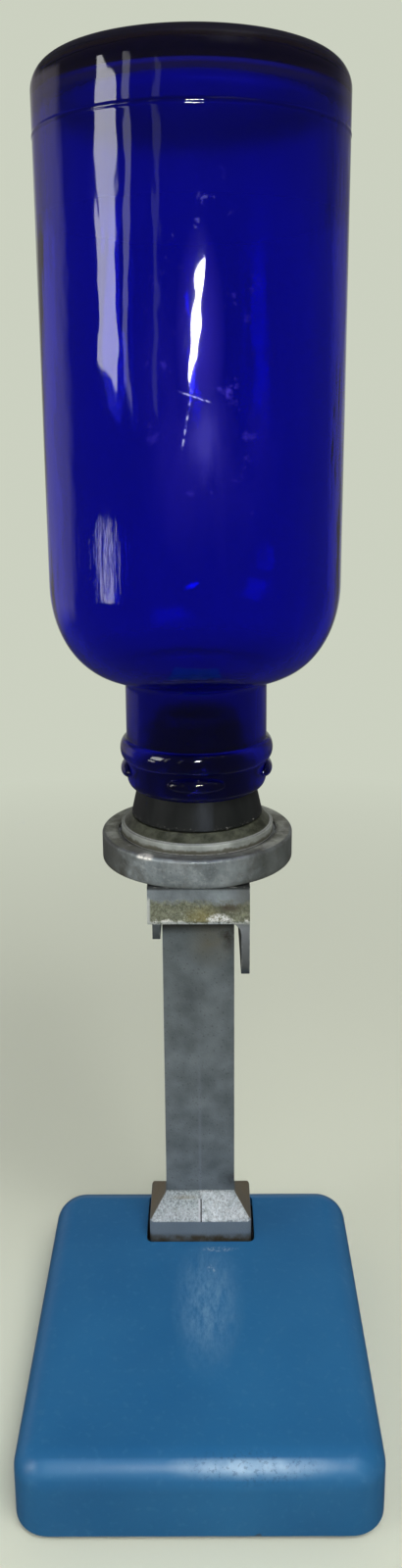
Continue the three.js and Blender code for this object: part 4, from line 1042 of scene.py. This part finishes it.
def mirrored_room(tree, way):
    """A dim room with a grey wall at the left, a faint one at the right and a pale one behind."""
    way = put(tree, "ShaderNodeSeparateXYZ", Vector=way).outputs
    wall = times(tree, ramp(tree, way["Y"], 0.2, 0.34), ramp(tree, way["X"], 0.05, -0.2))
    wall = times(tree, wall, ramp(tree, way["Y"], 0.45, 0.98, 1.0, 0.35))
    right = times(tree, ramp(tree, way["Y"], 0.5, 0.8), ramp(tree, way["X"], 0.1, 0.3, 0.0, 0.25))
    wall = most(tree, wall, right)
    wall = times(tree, wall, ramp(tree, way["Z"], -0.36, -0.22), ramp(tree, way["Z"], 0.4, 0.28))
    behind = ramp(tree, way["Y"], 0.88, 0.98, 0.0, 0.85)
    return tint(tree, behind, tint(tree, wall, dim_room, room_wall), backdrop)


floor_finish, tree, shader = finish(
    "floor", Base_Color=(0.66, 0.69, 0.57, 1), Roughness=0.9, Specular_IOR_Level=0.1
)
fade = ramp(tree, vector(tree, "LENGTH", place(tree)), 0.22, 0.6)
bearing = vector(tree, "NORMALIZE", vector(tree, "SUBTRACT", place(tree), (0, 0, 0.25)))
mirrored = path_of(tree)[1]
fade = most(tree, fade, mirrored)
shown = tint(tree, mirrored, backdrop, mirrored_room(tree, bearing))
glow = put(tree, "ShaderNodeEmission", Color=shown)
blend = put(tree, "ShaderNodeMixShader")
for socket, output in zip(blend.inputs, (fade, shader.outputs[0], glow.outputs[0])):
    tree.links.new(output, socket)
feed(tree, tree.nodes["Material Output"], Surface=blend.outputs[0])
clothe(floor, floor_finish)


def lamp(name, at, towards, wide, high, power, shape="RECTANGLE", turn=0, mirrored=True):
    light = bpy.data.lights.new(name, "AREA")
    light.shape = shape
    light.size, light.size_y, light.energy = wide, high, power
    made = enter(name, light)
    made.location = at
    facing = (Vector(towards) - Vector(at)).to_track_quat("-Z", "Y").to_matrix()
    made.rotation_euler = (facing @ Matrix.Rotation(turn, 3, "Z")).to_euler()
    made.visible_camera = False
    made.visible_glossy = mirrored


lamp("front light", (0.5, -0.75, 1.5), (0, 0, 0.15), 0.8, 0.8, 14, mirrored=False)
window_aim, window_turn = (0, 0, 0.33), radians(-9.5)
lamp("window light", (-0.87, -0.486, 0.49), window_aim, 0.26, 0.36, 1.9, turn=window_turn)
lamp("window side light", (-0.716, -0.704, 0.49), window_aim, 0.09, 0.4, 0.18, turn=window_turn)
lamp("window far light", (-0.415, -0.94, 0.49), window_aim, 0.06, 0.4, 0.03, turn=window_turn)
lamp("window low light", (-0.93, -0.38, 0.11), (0, 0, 0.25), 0.2, 0.12, 0.36)
lamp("lens light", (0.02, -0.4, 0.337), (0, 0, 0.2), 0.02, 0.086, 0.51, "ELLIPSE", radians(-45))
world = bpy.data.worlds.new("studio")
bpy.context.scene.world = world
world.use_nodes = True
tree = world.node_tree
seen, mirrored = path_of(tree)
shown = mirrored_room(tree, put(tree, "ShaderNodeTexCoord").outputs["Generated"])
shown = tint(tree, mirrored, backdrop, shown)
feed(tree, tree.nodes["Background"], Color=tint(tree, seen, (0.4, 0.4, 0.4), shown))

view = bpy.data.cameras.new("photo view")
view.sensor_width = 36
view.lens = 26.38
view.shift_y = -0.0463
view.clip_start = 0.01
camera = enter("photo view", view)
camera.location = (0.00316, -0.3296, 0.2924)
pitch, yaw, roll = radians(90 - 14.36), radians(0.304), radians(-0.408)
aim = Matrix.Rotation(yaw, 3, "Z") @ Matrix.Rotation(pitch, 3, "X") @ Matrix.Rotation(roll, 3, "Z")
camera.rotation_euler = aim.to_euler()
bpy.context.scene.camera = camera
bpy.context.scene.view_settings.view_transform = "Standard"
